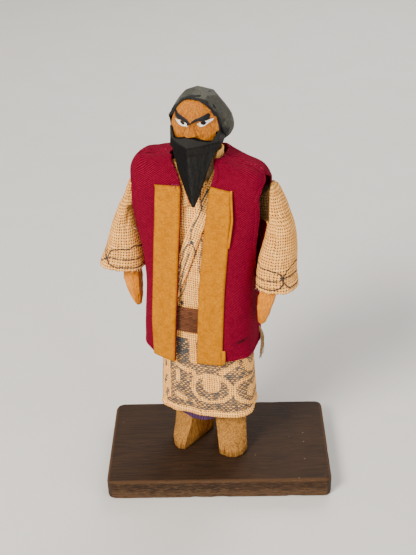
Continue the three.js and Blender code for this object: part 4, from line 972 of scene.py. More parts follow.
def plinth_sculpt(p, n):
    w = to_row(p) * 1000
    ex = np.minimum(60 - np.abs(w[:, 0]), 0) * 0 + (60 - np.abs(w[:, 0]))
    ey = 34 - np.abs(w[:, 1])
    ez = np.minimum(w[:, 2], 12 - w[:, 2])
    e = np.sort(np.stack([ex, ey, ez], -1), 1)
    edge = smooth(2.6, 0.2, e[:, 1])
    dent = smooth(0.25, 0.8, lump(w, 0.33, 31, 3)) * edge * 0.35 + 0.05 * edge
    return p - n * (dent + 0.03)[:, None]


def plinth_marks(p, n):
    w = to_row(p) * 1000
    e = np.sort(np.stack([60 - np.abs(w[:, 0]), 34 - np.abs(w[:, 1]), np.minimum(w[:, 2], 12 - w[:, 2])], -1), 1)
    return {"edge": smooth(2.2, 0.3, e[:, 1])}


dress(carve("plinth", "board", 0.75, 1, plinth_sculpt, plinth_marks), PLINTH, "figure", "plinth", "plinth")


# ---------------------------------------------------------------- cloth tubes round the body
CLOTHS = []  # (piece, mean width, mean length), left empty


def measure(P, wrap):
    """Longest row and longest column of a grid, and its area, in millimetres."""
    q = np.concatenate([P, P[:, :1]], 1) if wrap else P
    rows = np.linalg.norm(np.diff(q, axis=1), axis=2).sum(1)
    cols = np.linalg.norm(np.diff(P, axis=0), axis=2).sum(0)
    a, b = np.diff(q[:-1], axis=1), np.diff(q, axis=0)[:, :-1]
    area = np.linalg.norm(np.cross(a, b), axis=2).sum()
    return rows.max(), cols.max(), area


def declare(ob, P, wrap):
    w, l, area = measure(P, wrap)
    w, l = math.ceil(w) / 1000, math.ceil(l) / 1000
    min(max(area / 1e6, 0.31 * w * l), w * l)


def tube_grid(z, cols, off, shift=None, back_start=True):
    """Rows of a tube round the torso at heights z, equal arc lengths from the back centre round the front. off is not
    used.
    """
    t = TORSO.index_of(z)
    u, arc = TORSO.spread(t, np.full(len(z), -1.5 * math.pi), np.full(len(z), 0.5 * math.pi), cols + 1, 2.9)
    u, arc = u[:, :-1], arc[:, :]
    total = arc[:, -1:]
    # signed arc length from the front centre
    tt = np.repeat(t[:, None], cols, 1)
    front = np.array([np.interp(-0.5 * math.pi, u[k], arc[k, :-1]) for k in range(len(z))])[:, None]
    s = arc[:, :-1] - front
    zz = np.repeat(z[:, None], cols, 1)
    n = TORSO.normal(tt, u)
    base = TORSO.raw(tt, u)
    return base, n, s, zz, total, u


def skirt_print(s, z, L):
    q = L / 4
    a = np.where(np.abs(s) <= q, s, np.sign(s) * (2 * q - np.abs(s)))
    p = np.stack([a, z], -1)
    ink = np.full(a.shape, -2.0)
    pale = [
        d_disc(p, (5.8, 46.9), 5.1, 5.7), d_ring(p, (5.8, 44.0), 10.3, 8.6, 1.25),
        d_poly(p, [(36.5, 47.2), (31, 48.6), (25.6, 49.7), (21.4, 49.6), (18.8, 47.7), (17.6, 44.8), (17.8, 42.0), (19.5, 38.4), (22.7, 35.4), (27.2, 32.6), (33.0, 30.6)], 1.3),
        d_disc(p, (29.2, 41.0), 5.2, 4.3),
        d_poly(p, [(-14.6, 58.6), (-11.6, 55.6), (-8.3, 53.9), (-4.3, 53.4), (-2.2, 50.2)], 1.5),
        d_poly(p, [(11.4, 55.0), (16.2, 58.6), (20.3, 61.8)], 1.7), d_poly(p, [(22.6, 62.5), (27.4, 55.6), (36.0, 50.8)], 2.3),
        d_poly(p, [(-12.5, 52.2), (-12.8, 45.6)], 1.3), d_poly(p, [(-13.4, 36.8), (-9.0, 34.4)], 1.6),
        d_poly(p, [(-5.0, 34.6), (-2.6, 31.8)], 0.6),
        np.maximum(p[..., 0] + 17.2, -(p[..., 0] + 23.5)) + 0 * z,
        d_poly(p, [(-27.5, 58.0), (-31.0, 50.0), (-27.0, 43.0), (-30.5, 35.0)], 1.5), d_disc(p, (-34.5, 46.0), 3.4, 4.6),
        np.maximum(np.abs(p[..., 0] + 3.4) - 2.2, 58.5 - z),
    ]
    for d in pale:
        ink = np.maximum(ink, -d)
    dark = [
        d_poly(p, [(-15.0, 60.0), (-15.4, 47.1), (-15.6, 41.0), (-12.6, 39.4)], 0.75),
        d_poly(p, [(21.5, 62.0), (22.0, 56.8), (16.4, 53.4)], 1.0), d_poly(p, [(22.0, 56.8), (24.6, 52.8), (29.5, 50.6), (35.6, 48.6)], 0.85),
        d_poly(p, [(-18.4, 30.8), (-14.8, 30.0), (-11.2, 31.2)], 1.7),
        d_poly(p, [(-20.6, 57), (-20.8, 52)], 0.5), d_poly(p, [(-20.0, 46), (-21.4, 40)], 0.5), d_poly(p, [(-19.6, 37), (-20.2, 33)], 0.6),
        d_poly(p, [(29.0, 44.4), (33.4, 41.6)], 0.5),
    ]
    for d in dark:
        ink = np.minimum(ink, d)
    ink = np.maximum(ink, 29.4 - z)  # the rolled hem is bare
    ink = np.maximum(ink, z - 74.0)
    return ink


LAP_LINES = [
    [(3.1, 152.2), (3.6, 148.6), (2.2, 145.6), (0.7, 142.6), (-0.8, 139.8), (-2.1, 136.4), (-2.2, 133.0), (-1.6, 130.3)],
    [(6.6, 158.8), (3.1, 152.2)],
    [(-1.6, 130.3), (-3.2, 129.4), (-4.5, 128.4), (-5.8, 126.0), (-6.6, 122.5), (-7.6, 117.9), (-8.8, 110.5), (-9.9, 103.0), (-10.6, 97.5)],
    [(-1.6, 130.3), (-0.5, 128.5), (0.1, 125.7), (-0.7, 122.0), (-2.2, 118.0), (-4.0, 113.0), (-5.2, 109.0), (-6.1, 104.7), (-8.0, 100.2), (-10.0, 97.4)],
    [(-3.2, 124.6), (-4.4, 120.6), (-5.6, 117.0), (-7.2, 110.4), (-8.3, 103.8), (-8.6, 101.0)],
]


def lap_print(p):
    d = np.full(p.shape[:-1], 9.0)
    for k, l in enumerate(LAP_LINES):
        d = np.minimum(d, d_poly(p, l, 0.42))
    d = np.minimum(d, d_disc(p, (-8.2, 95.0), 1.2, 1.4))
    d = np.minimum(d, d_disc(p, (-1.7, 130.9), 1.1, 0.9))
    return d


def robe_mesh():
    z0, z1, C = 25.4, 161.6, 240
    z = np.concatenate([[25.4, 25.6, 25.9, 26.4], np.arange(27.0, 66, 0.6), np.arange(66, 161.6, 0.95), [161.6]])
    base, n, s, zz, total, u = tube_grid(z, C, None)
    h = zz - z0
    hem = 0.55 * np.sin(np.clip(h / 3.3, 0, 1) * math.pi) ** 0.6 * (h < 3.3)
    rib = 0.17 * np.cos(2 * math.pi * s / 1.95 + 0.5 * np.sin(s * 0.3)) * smooth(3.3, 2.4, h) * smooth(0.0, 0.7, h)
    groove = -0.30 * np.exp(-((h - 3.7) / 0.45) ** 2)
    drop = smooth(64, 30, zz)
    folds = (0.42 * np.sin(s * 2 * math.pi / 25.0 + 0.8 + zz * 0.02) + 0.25 * np.sin(s * 2 * math.pi / 13.3 + 2.1 - zz * 0.03)) * drop
    folds = np.maximum(folds + 0.3 * drop, -0.05)
    wrap_edge = 0.45 * smooth(-17.6, -16.9, s) * smooth(30, 6, s) * smooth(78, 74, zz)
    soft = 0.10 * lump(np.stack([s, zz], -1), 0.18, 41, 3)
    upper = smooth(93, 96, zz) * 0.0
    off = 2.9 + hem + rib + groove + folds + wrap_edge + soft * smooth(0, 5, h) + upper
    off = np.where(zz > 74, np.minimum(off, 2.92), off)
    P = base + n * off[..., None]
    scal = 1.2 * np.cos(u) * smooth(16, 0, h)
    P[..., 2] += scal + 0.18 * np.sin(s * 0.55) * smooth(3, 0, h)
    # inner face
    zi = np.array([25.4, 26.5, 30, 36, 44, 54, 63, 70, 80, 100, 120, 140, 155, 161.6])
    bi, ni, si, zzi, ti, ui = tube_grid(zi, C, None)
    offi = np.where(zzi < 64, 1.7, np.where(zzi < 72, 1.7 + (zzi - 64) / 8 * -1.35, 0.35))
    Q = bi + ni * offi[..., None]
    Q[..., 2] += 1.2 * np.cos(ui) * smooth(16, 0, zzi - z0)
    L = float(total.mean())
    sn = s / total * L
    uv = np.stack([sn, zz], -1)
    pr = skirt_print(sn, zz, L)
    front = np.abs(s) < 26
    lp = lap_print(np.stack([P[..., 0], P[..., 2]], -1))
    pr = np.where(front & (zz > 93), np.minimum(pr, lp + 0.1), pr)
    wave = [d_poly(np.stack([sn, zz], -1), [(x0, 94), (x0 + 1.5, 104), (x0 - 1, 116), (x0 + 1.2, 130), (x0, 144), (x0 + 0.6, 160)], 0.4) for x0 in (3.0, 10.5, 30, 44, 58, -34, -48, -62)]
    for w in wave:
        pr = np.where(zz > 93, np.minimum(pr, w), pr)
    ink_amt = 0.5 * np.exp(-((sn + 9.3) / 3.4) ** 2) * smooth(57, 63, zz)
    # painted shade: the robe front is darkened beside the right band, partly also a darker weave there
    shade_strip = 0.5 * smooth(-6.0, -9.5, P[..., 0]) * (P[..., 1] < 0) * smooth(93, 97, zz)
    return P, Q, uv, L, {"print": pr - 0.15 * (zz < 80), "jag": smooth(80, 74, zz) * 0.35 + 0.2, "ink": ink_amt, "dark": shade_strip}


P, Q, uv, L, at = robe_mesh()
# the column at the seam: its coordinate must not run backwards
robe = shell("robe_cloth", P, Q, uv, wrap=True, period=L, attrs=at)
dress(robe, BURLAP, "figure", "burlap", "robe")
ROBE_P = P


def underskirt_mesh():
    C = 200
    z = np.concatenate([np.arange(25.2, 40, 0.6), np.linspace(40, 62, 18)])
    base, n, s, zz, total, u = tube_grid(z, C, None)
    fold = 0.16 * np.sin(s * 2 * math.pi / 4.2 + 0.6 * np.sin(s * 0.4)) * smooth(34, 26, zz)
    P = base + n * (1.28 + fold)[..., None]
    dip = -5.2 * np.exp(-(np.abs((P[..., 0] + 2.4) / 9.6) ** 3)) * (np.sin(u) < 0) * smooth(40, 25.2, zz)
    P[..., 2] += dip + 0.12 * np.sin(s * 1.3) * smooth(30, 25.2, zz)
    Q = base + n * (0.38 + np.minimum(fold, 0.1))[..., None]
    Q[..., 2] = P[..., 2]
    L = float(total.mean())
    return P, Q, np.stack([s / total * L, P[..., 2]], -1), L


P, Q, uv, L = underskirt_mesh()
under = dress(shell("violet_underskirt", P, Q, uv, wrap=True, period=L), VIOLET, "figure", "purple_cloth", "underskirt")
declare(under, P, True)


def sash_mesh():
    C = 240
    z = np.concatenate([[78.8, 79.0, 79.4, 80.0], np.arange(80.7, 91.4, 0.45), [91.8, 92.4, 92.8, 93.0]])
    base, n, s, zz, total, u = tube_grid(z, C, None)
    e = np.minimum(zz - 78.8, 93 - zz)
    crease = -0.14 * np.exp(-((zz - 83.2 - 0.4 * np.sin(s * 0.12)) / 0.5) ** 2) - 0.12 * np.exp(-((zz - 88.6 + 0.5 * np.sin(s * 0.09 + 1)) / 0.5) ** 2)
    off = 4.22 + crease + 0.06 * lump(np.stack([s, zz], -1), 0.5, 51) - 0.25 * smooth(0.6, 0, e)
    P = base + n * off[..., None]
    P[..., 2] += 0.25 * np.sin(s * 0.16) * 0.5
    Q = base + n * np.full(off.shape, 3.27)[..., None]
    Q[..., 2] = P[..., 2]
    L = float(total.mean())
    return P, Q, np.stack([s / total * L, zz], -1), L


P, Q, uv, L = sash_mesh()
sash = dress(shell("sash_cloth", P, Q, uv, wrap=True, period=L), SASH, "figure", "sash_cloth", "sash")
SASH_P = P


def strand(points, r0, r1, sides=5):
    """A closed thin tapered thread along points."""
    pts = np.asarray(points, float)
    t = np.gradient(pts, axis=0)
    t /= np.linalg.norm(t, axis=1, keepdims=True)
    ref = np.array([0.31, 0.77, 0.56])
    a = np.cross(t, ref)
    a /= np.linalg.norm(a, axis=1, keepdims=True)
    b = np.cross(t, a)
    k = np.arange(sides) / sides * 2 * math.pi
    r = np.linspace(r0, r1, len(pts))[:, None, None]
    ring = pts[:, None] + r * (np.cos(k)[None, :, None] * a[:, None] + np.sin(k)[None, :, None] * b[:, None])
    V = np.concatenate([ring.reshape(-1, 3), pts[:1], pts[-1:]])
    F, n = [], len(pts)
    for i in range(n - 1):
        for j in range(sides):
            j1 = (j + 1) % sides
            F.append([i * sides + j, i * sides + j1, (i + 1) * sides + j1, (i + 1) * sides + j])
    for j in range(sides):
        j1 = (j + 1) % sides
        F.append([j1, j, n * sides, n * sides])
        F.append([(n - 1) * sides + j, (n - 1) * sides + j1, n * sides + 1, n * sides + 1])
    return V, F


def strands(name, paths, r0, r1):
    """Many threads in one mesh (triangular end faces)."""
    V, F, at = [], [], 0
    for p in paths:
        v, f = strand(p, r0, r1)
        V.append(v)
        F += [[i + at for i in x] for x in f]
        at += len(v)
    V = to_row(np.concatenate(V))
    F = [x if x[2] != x[3] else x[:3] for x in F]
    me = bpy.data.meshes.new(name)
    me.from_pydata(V.tolist(), [], F)
    for p in me.polygons:
        p.use_smooth = True
    me.validate()
    ob = bpy.data.objects.new(name, me)
    bpy.context.scene.collection.objects.link(ob)
    return ob


def tail_paths():
    spine = np.array([(22.6, 2.6, 81.0), (24.6, 3.1, 78.6), (26.7, 3.45, 76.2), (28.3, 3.3, 73.0), (28.9, 2.9, 69.0), (29.0, 2.5, 65.0), (28.7, 2.2, 61.0), (28.4, 2.0, 57.6)])
    out = []
    for k in range(22):
        ph, cut_at = rng.random() * 6.28, 5.0 + 2.0 * rng.random()
        side_y = ((k % 11) / 10 - 0.5)
        pts = []
        for f in np.linspace(0, cut_at, 16):
            q = np.array([np.interp(f, np.arange(8), spine[:, i]) for i in range(3)])
            spread = 1.0 + 3.4 * smooth(2.2, 5.0, f)
            q[1] += side_y * 1.1 * spread + 0.30 * math.sin(f * 1.7 + ph) * smooth(2.6, 4, f)
            q[0] += 0.35 * (k // 11) + 0.25 * math.sin(f * 1.3 + ph * 2) * smooth(2.6, 4, f)
            pts.append(q)
        out.append(pts)
    return out


tail = dress(strands("frayed_sash_end", tail_paths(), 0.42, 0.16), FRAY, "figure", "sash_cloth", "sash_tail")
declare(sash, SASH_P, True)


# ---------------------------------------------------------------- the robe's collar bands
def catmull(P, m):
    """m points along a smooth curve through the rows of P, at equal steps of its length."""
    P = np.asarray(P, float)
    n = len(P)
    t = np.linspace(0, n - 1, 1500)
    i = np.clip(np.floor(t), 0, n - 2).astype(int)
    f = (t - i)[:, None]
    at = lambda k: P[np.clip(k, 0, n - 1)]
    p0, p1, p2, p3 = at(i - 1), at(i), at(i + 1), at(i + 2)
    q = 0.5 * (2 * p1 + (p2 - p0) * f + (2 * p0 - 5 * p1 + 4 * p2 - p3) * f**2 + (3 * p1 - p0 - 3 * p2 + p3) * f**3)
    ln = np.concatenate([[0], np.cumsum(np.linalg.norm(np.diff(q[:, :3], axis=0), axis=1))])
    w = np.linspace(0, ln[-1], m)
    return np.stack([np.interp(w, ln, q[:, k]) for k in range(q.shape[1])], -1), w


def collar(side, path, off, name, body_slot, nodes, lift=0.0):
    c, n, w, half = [], [], [], []
    for a, z, tilt in ((89.2, 172.4, 0), (58, 172.4, 0), (30, 172.4, 0), (4, 172.2, 0.1), (-20, 171.4, 0.35)):
        p = math.radians(a)
        nn = np.array([side * math.cos(p), math.sin(p), tilt])
        nn /= np.linalg.norm(nn)
        ww = np.array([0, 0, 1.0]) - nn[2] * nn
        ww /= np.linalg.norm(ww)
        c.append([NECK_X + side * 10.3 * math.cos(p), 0.4 + 8.9 * math.sin(p), z])
        n.append(nn), w.append(ww), half.append(2.7)
    pts = []
    for x, z, hw in path:
        t = TORSO.index_of(z)
        u = TORSO.angle_of_x(t, x)
        pts.append((TORSO.at(np.array([t]), np.array([u]), np.array([off]))[0], TORSO.normal(np.array([t]), np.array([u]))[0], hw))
    for k, (cc, nn, hw) in enumerate(pts):
        a, b = pts[max(k - 1, 0)][0], pts[min(k + 1, len(pts) - 1)][0]
        t = (b - a) / np.linalg.norm(b - a)
        ww = np.cross(nn, t)
        ww /= np.linalg.norm(ww)
        if ww[0] * side > 0:
            ww = -ww
        c.append(cc), n.append(nn), w.append(ww), half.append(hw)
    rows = np.concatenate([np.array(c), np.array(n), np.array(w), np.array(half)[:, None]], 1)
    R, Cn = 150 if side > 0 else 90, 17
    S, ln = catmull(rows, R)
    cen, nor, wid, hf = S[:, :3], S[:, 3:6], S[:, 6:9], S[:, 9]
    nor /= np.linalg.norm(nor, axis=1, keepdims=True)
    wid -= (wid * nor).sum(1, keepdims=True) * nor
    wid /= np.linalg.norm(wid, axis=1, keepdims=True)
    j = np.array([-1, -0.965, -0.9, -0.8, -0.66, -0.5, -0.33, -0.16, 0, 0.16, 0.33, 0.5, 0.66, 0.8, 0.9, 0.965, 1.0])
    Cn = len(j)
    e = 1 - np.abs(j)
    crown = 0.98 - 0.28 * np.exp(-(e / 0.08) ** 1.0) + 0.16 * np.exp(-((e - 0.22) / 0.16) ** 2)
    pucker = 0.10 * np.sin(ln * 2 * math.pi / 5.1)[:, None] * np.exp(-((e - 0.3) / 0.3) ** 2)[None]
    base = cen[:, None] + wid[:, None] * (j[None, :, None] * hf[:, None, None])
    outer = base + nor[:, None] * (crown[None] + pucker + lift)[..., None]
    inner = base + nor[:, None] * 0.04
    uv = np.stack([np.repeat((j[None] * 3.3), R, 0), np.repeat(ln[:, None], Cn, 1)], -1)
    pr = lap_print(np.stack([outer[..., 0], outer[..., 2]], -1)) if side > 0 else np.full((R, Cn), 9.0)
    pr = np.where(outer[..., 1] < -2, pr, 9.0)
    # the under lapel gets painted shade through the dark attribute, partly also a darker weave
    ob = shell(name, outer, inner, uv, attrs={"print": pr, "jag": np.full((R, Cn), 0.25), "ink": np.full((R, Cn), 0.6), "dark": np.full((R, Cn), 0.0 if side > 0 else 0.32)})
    return ob, outer


OFF = 3.25
over, over_P = collar(1, [[10.2, 165.4, 2.9], [9.0, 161, 3.1], [6.4, 153, 3.2], [2.6, 143, 3.3], [-2.2, 130, 3.5], [-7.0, 116, 3.6], [-11.6, 102, 3.6], [-13.4, 96.4, 3.6]], OFF, "lapel_over", "burlap", "collar_left")
dress(over, BURLAP, "figure", "burlap", "collar_left")
und, und_P = collar(-1, [[-11.4, 165.4, 2.9], [-10.4, 161, 3.0], [-8.2, 155.5, 3.1], [-5.6, 148.4, 3.0]], OFF, "lapel_under", "burlap", "collar_right")
dress(und, BURLAP, "figure", "burlap", "collar_right")
declare(robe, ROBE_P, True)  # the two lapels are sewn to the robe


# ---------------------------------------------------------------- the open coat
def coat_rows(step):
    t = np.linspace(0, COAT.n - 1, 4000)
    p = COAT.raw(t, np.full(t.shape, -1.2))
    ln = np.concatenate([[0], np.cumsum(np.linalg.norm(np.diff(p, axis=0), axis=1))])
    m = int(ln[-1] / step)
    edge = np.array([0.12, 0.35, 0.8])
    w = np.concatenate([[0], edge, np.linspace(1.5, ln[-1] - 1.5, m), ln[-1] - edge[::-1], [ln[-1]]])
    return np.interp(w, ln, t), w


def coat_panel(name, cols, u_from, u_to, node, side):
    t, w = coat_rows(1.05)
    z = COAT.row(t)[:, 0]
    u0, u1 = u_from(t, z), u_to(t, z)
    # equal arc lengths, with extra columns close to both edges
    k = np.linspace(0, 1, cols)
    dense, arc = COAT.spread(t, u0, u1, 400, 1.1)
    width = arc[:, -1]
    cs = np.zeros((len(t), cols + 6))
    us = np.zeros_like(cs)
    for r in range(len(t)):
        m = min(1.5, width[r] * 0.06)
        pos = np.concatenate([[0, 0.12, 0.35, 0.8], np.linspace(m, width[r] - m, cols - 2), [width[r] - 0.8, width[r] - 0.35, width[r] - 0.12, width[r]]])
        cs[r] = pos
        us[r] = np.interp(pos, arc[r], dense[r])
    tt = np.repeat(t[:, None], cs.shape[1], 1)
    base, n = COAT.raw(tt, us), COAT.normal(tt, us)
    zz = base[..., 2]
    v = np.repeat(w[:, None], cs.shape[1], 1)
    e = np.minimum(np.minimum(cs, width[:, None] - cs), np.minimum(v, w[-1] - v))
    eb = np.minimum(v, np.minimum(cs, width[:, None] - cs))
    # turned hems, with a line of stitches drawn in beside them, and soft waves away from the armholes
    hem = 0.34 * smooth(3.0, 2.2, e) - 0.22 * np.exp(-((e - 2.6) / 0.35) ** 2)
    pk = 0.10 * np.sin(v * 2 * math.pi / 6.3 + cs * 0.2) * np.exp(-((e - 3.2) / 1.6) ** 2)
    x = base[..., 0]
    free = smooth(27, 20, np.abs(x + 2.0)) * smooth(0, 3, e)
    low = smooth(120, 66, zz)
    if side == "back":
        waves = 0.9 * np.sin(x * 2 * math.pi / 21 + 0.6 + zz * 0.012) * low + 0.35 * np.sin(x * 2 * math.pi / 11 + 2.2) * low
        waves = waves + 0.55 * np.sin((zz - 138 + 0.25 * x) / 6.5) * np.exp(-((zz - 140) / 16) ** 2)
        waves = np.maximum(waves + 0.5, 0) * free
    else:
        s = 1 if side == "left" else -1
        waves = 0.45 * np.sin(x * 2 * math.pi / 17 + s + zz * 0.02) * low
        waves = waves + 0.35 * np.sin((zz - 150 + s * 0.9 * x) / 5.0) * np.exp(-((zz - 156) / 10) ** 2)
        waves = np.maximum(waves + 0.15, 0) * free * smooth(6, 10, np.abs(x - (7 if s > 0 else -15)))
    nub = 0.05 * lump(np.stack([cs, v], -1), 0.45, 61, 3)
    outer = base + n * (1.06 + hem * 0.9 + pk + waves + nub - 0.22 * smooth(0.5, 0.0, e))[..., None]
    inner = base + n * (0.03 + waves * 0.9 + 0.10 * smooth(0.5, 0.0, e))[..., None]
    # the hem is not dead straight
    wob = (0.30 * np.sin(cs * 0.35 + (0 if side == "back" else 1.3)) + 0.15 * np.sin(cs * 0.9)) * smooth(10, 0, v)
    outer[..., 2] += wob
    inner[..., 2] += wob
    outer, inner = settle(side, outer), settle(side, inner)
    uv = np.stack([cs, v], -1)
    sm = np.zeros(e.shape)
    if side == "left":
        sc = cs - width[:, None] * 0.56
        sm = np.exp(-((sc / 2.9) ** 2 + ((v - 14.0 - 0.3 * sc) / 1.3) ** 2)) * 1.0
    ob = shell(name, outer, inner, uv, attrs={"edge": e, "smudge": sm})
    dress(ob, TWILL, "figure", "crimson_twill", node)
    return ob, outer


PI = math.pi
cl, cl_P = coat_panel("coat_front_L", 46, lambda t, z: COAT.angle_of_x(t, along(FRONT_EDGE["left"], z)), lambda t, z: COAT.angle_of_y(t, along(ARM_EDGE, z)), "coat_front_left", "left")
cr, cr_P = coat_panel("coat_front_R", 40, lambda t, z: COAT.angle_of_x(t, along(FRONT_EDGE["right"], z)), lambda t, z: -PI - COAT.angle_of_y(t, along(ARM_EDGE, z)), "coat_front_right", "right")
cb, cb_P = coat_panel("coat_back_panel", 84, lambda t, z: COAT.angle_of_y(t, along(BACK_EDGE, z)), lambda t, z: PI - COAT.angle_of_y(t, along(BACK_EDGE, z)), "coat_back", "back")
declare(cl, cl_P, False)
declare(cr, cr_P, False)
declare(cb, cb_P, False)


def band_mesh(side, z0, z1, name):
    z = np.concatenate([[z0, z0 + 0.15, z0 + 0.4, z0 + 0.9], np.arange(z0 + 1.6, z1 - 1.4, 0.95), [z1 - 0.9, z1 - 0.4, z1 - 0.15, z1]])
    t = COAT.index_of(z)
    x0, wd = along(FRONT_EDGE[side], z), along(BAND_WIDTH[side], z)
    k = np.concatenate([[0, 0.012, 0.03, 0.07], np.linspace(0.13, 0.87, 11), [0.93, 0.97, 0.988, 1.0]])
    tt = np.repeat(t[:, None], len(k), 1)
    xx = x0[:, None] + wd[:, None] * k[None]
    us = COAT.angle_of_x(tt, xx)
    base, n = COAT.raw(tt, us), COAT.normal(tt, us)
    s = np.concatenate([np.zeros((len(z), 1)), np.cumsum(np.linalg.norm(np.diff(base, axis=1), axis=2), 1)], 1)
    v = np.repeat((z - z0)[:, None], len(k), 1)
    width = s[:, -1:]
    e = np.minimum(np.minimum(s, width - s), np.minimum(v, z1 - z0 - v))
    soft = 0.10 * lump(np.stack([s, v], -1), 0.22, 71 if side == "left" else 72, 3)
    ripple = 0.16 * np.sin(v * 2 * PI / 27 + (0.5 if side == "left" else 2.0)) * smooth(0, 3, e)
    off = 2.30 + soft * smooth(0, 2, e) + ripple - 0.30 * smooth(0.5, 0, e) + 0.12 * np.exp(-((e - 1.1) / 0.5) ** 2)
    outer = base + n * off[..., None]
    inner = base + n * np.maximum(1.50 + ripple * 0.6, 1.45)[..., None]
    if side == "left":  # lower edge runs down to the outside; upper edge falls away outwards
        slope_top, slope_low = -1.6, 0.9
    else:
        slope_top, slope_low = -0.9, 2.2
    kk = k[None]
    dz = slope_low * kk * np.maximum(0, 1 - v / 12) + slope_top * kk * smooth(8, 0, z1 - z0 - v)
    outer[..., 2] += dz
    inner[..., 2] += dz
    uv = np.stack([s, v], -1)
    ob = shell(name, outer, inner, uv, attrs={"edge": e})
    dress(ob, YELLOW, "figure", "yellow_cloth", "coat_band_" + side)
    return ob, outer, n


def flap(name, side, z0, z1, k_at, width, out, bow):
    """A narrow strip standing along a band's outer edge, where its turned edge has come loose."""
    z = np.linspace(z0, z1, 28)
    t = COAT.index_of(z)
    x0, wd = along(FRONT_EDGE[side], z), along(BAND_WIDTH[side], z)
    j = np.linspace(0, 1, 7)
    f = np.sin(np.clip((z - z0) / (z1 - z0), 0, 1) * PI)[:, None]
    xx = (x0 + wd * k_at)[:, None] + np.sign(wd[0]) * (width * j[None] + bow * f)
    tt = np.repeat(t[:, None], len(j), 1)
    us = COAT.angle_of_x(tt, xx)
    base, n = COAT.raw(tt, us), COAT.normal(tt, us)
    lift = 1.62 + out * f * (0.4 + 0.6 * j[None]) * 1.0
    outer = base + n * (lift + 0.72)[..., None]
    inner = base + n * lift[..., None]
    uv = np.stack([np.repeat(j[None] * width, len(z), 0), np.repeat((z - z0)[:, None], len(j), 1)], -1)
    ob = shell(name, outer, inner, uv, attrs={"edge": np.full(outer.shape[:2], 2.0)})
    return dress(ob, YELLOW, "figure", "yellow_cloth")


bl, bl_P, _ = band_mesh("left", 62.1, 161.0, "yellow_band_L")
br, br_P, _ = band_mesh("right", 60.6, 159.6, "yellow_band_R")
flap_top = flap("band_turned_edge", "left", 131.5, 160.0, 0.985, 0.75, 0.9, 0.55)
flap_low = flap("band_loose_tab", "left", 64.2, 72.2, 0.985, 1.5, 0.35, 0.2)
declare(bl, bl_P, False)
declare(br, br_P, False)


# ---------------------------------------------------------------- sleeves
SHOULDER_CX = -1.2
SLEEVE_TOP = {
    "left": [[161.4, 35.5, 36.5, 1.6, -0.6], [160.4, 35.4, 37.6, 3.8, -0.6], [158.4, 35.3, 39.2, 5.6, -0.6], [157.0, 30.4, 40.0, 5.8, 0]],
    "right": [[156.8, 30.6, 33.0, 1.6, 0], [156.3, 29.4, 34.6, 3.4, 0], [155.6, 28.6, 35.6, 4.8, 0]]}
SLEEVE = [
    [154.4, 27.2, 41.4, 36.8, 6.6, 0], [150.0, 27.0, 43.4, 38.6, 7.5, 0], [146.2, 27.2, 44.9, 40.0, 7.8, -0.3], [144.2, 29.6, 45.6, 41.0, 8.0, -0.6],
    [142.6, 34.5, 46.1, 41.6, 8.3, -0.9], [139.0, 34.3, 47.0, 42.9, 8.9, -1.5], [134.5, 33.5, 47.8, 44.6, 9.3, -2.0], [129.0, 32.2, 48.4, 46.6, 9.8, -2.7],
    [123.5, 30.8, 48.8, 48.6, 10.1, -3.3], [116.0, 29.8, 49.2, 51.4, 10.2, -4.1], [108.6, 29.8, 49.6, 53.9, 10.0, -4.6]]


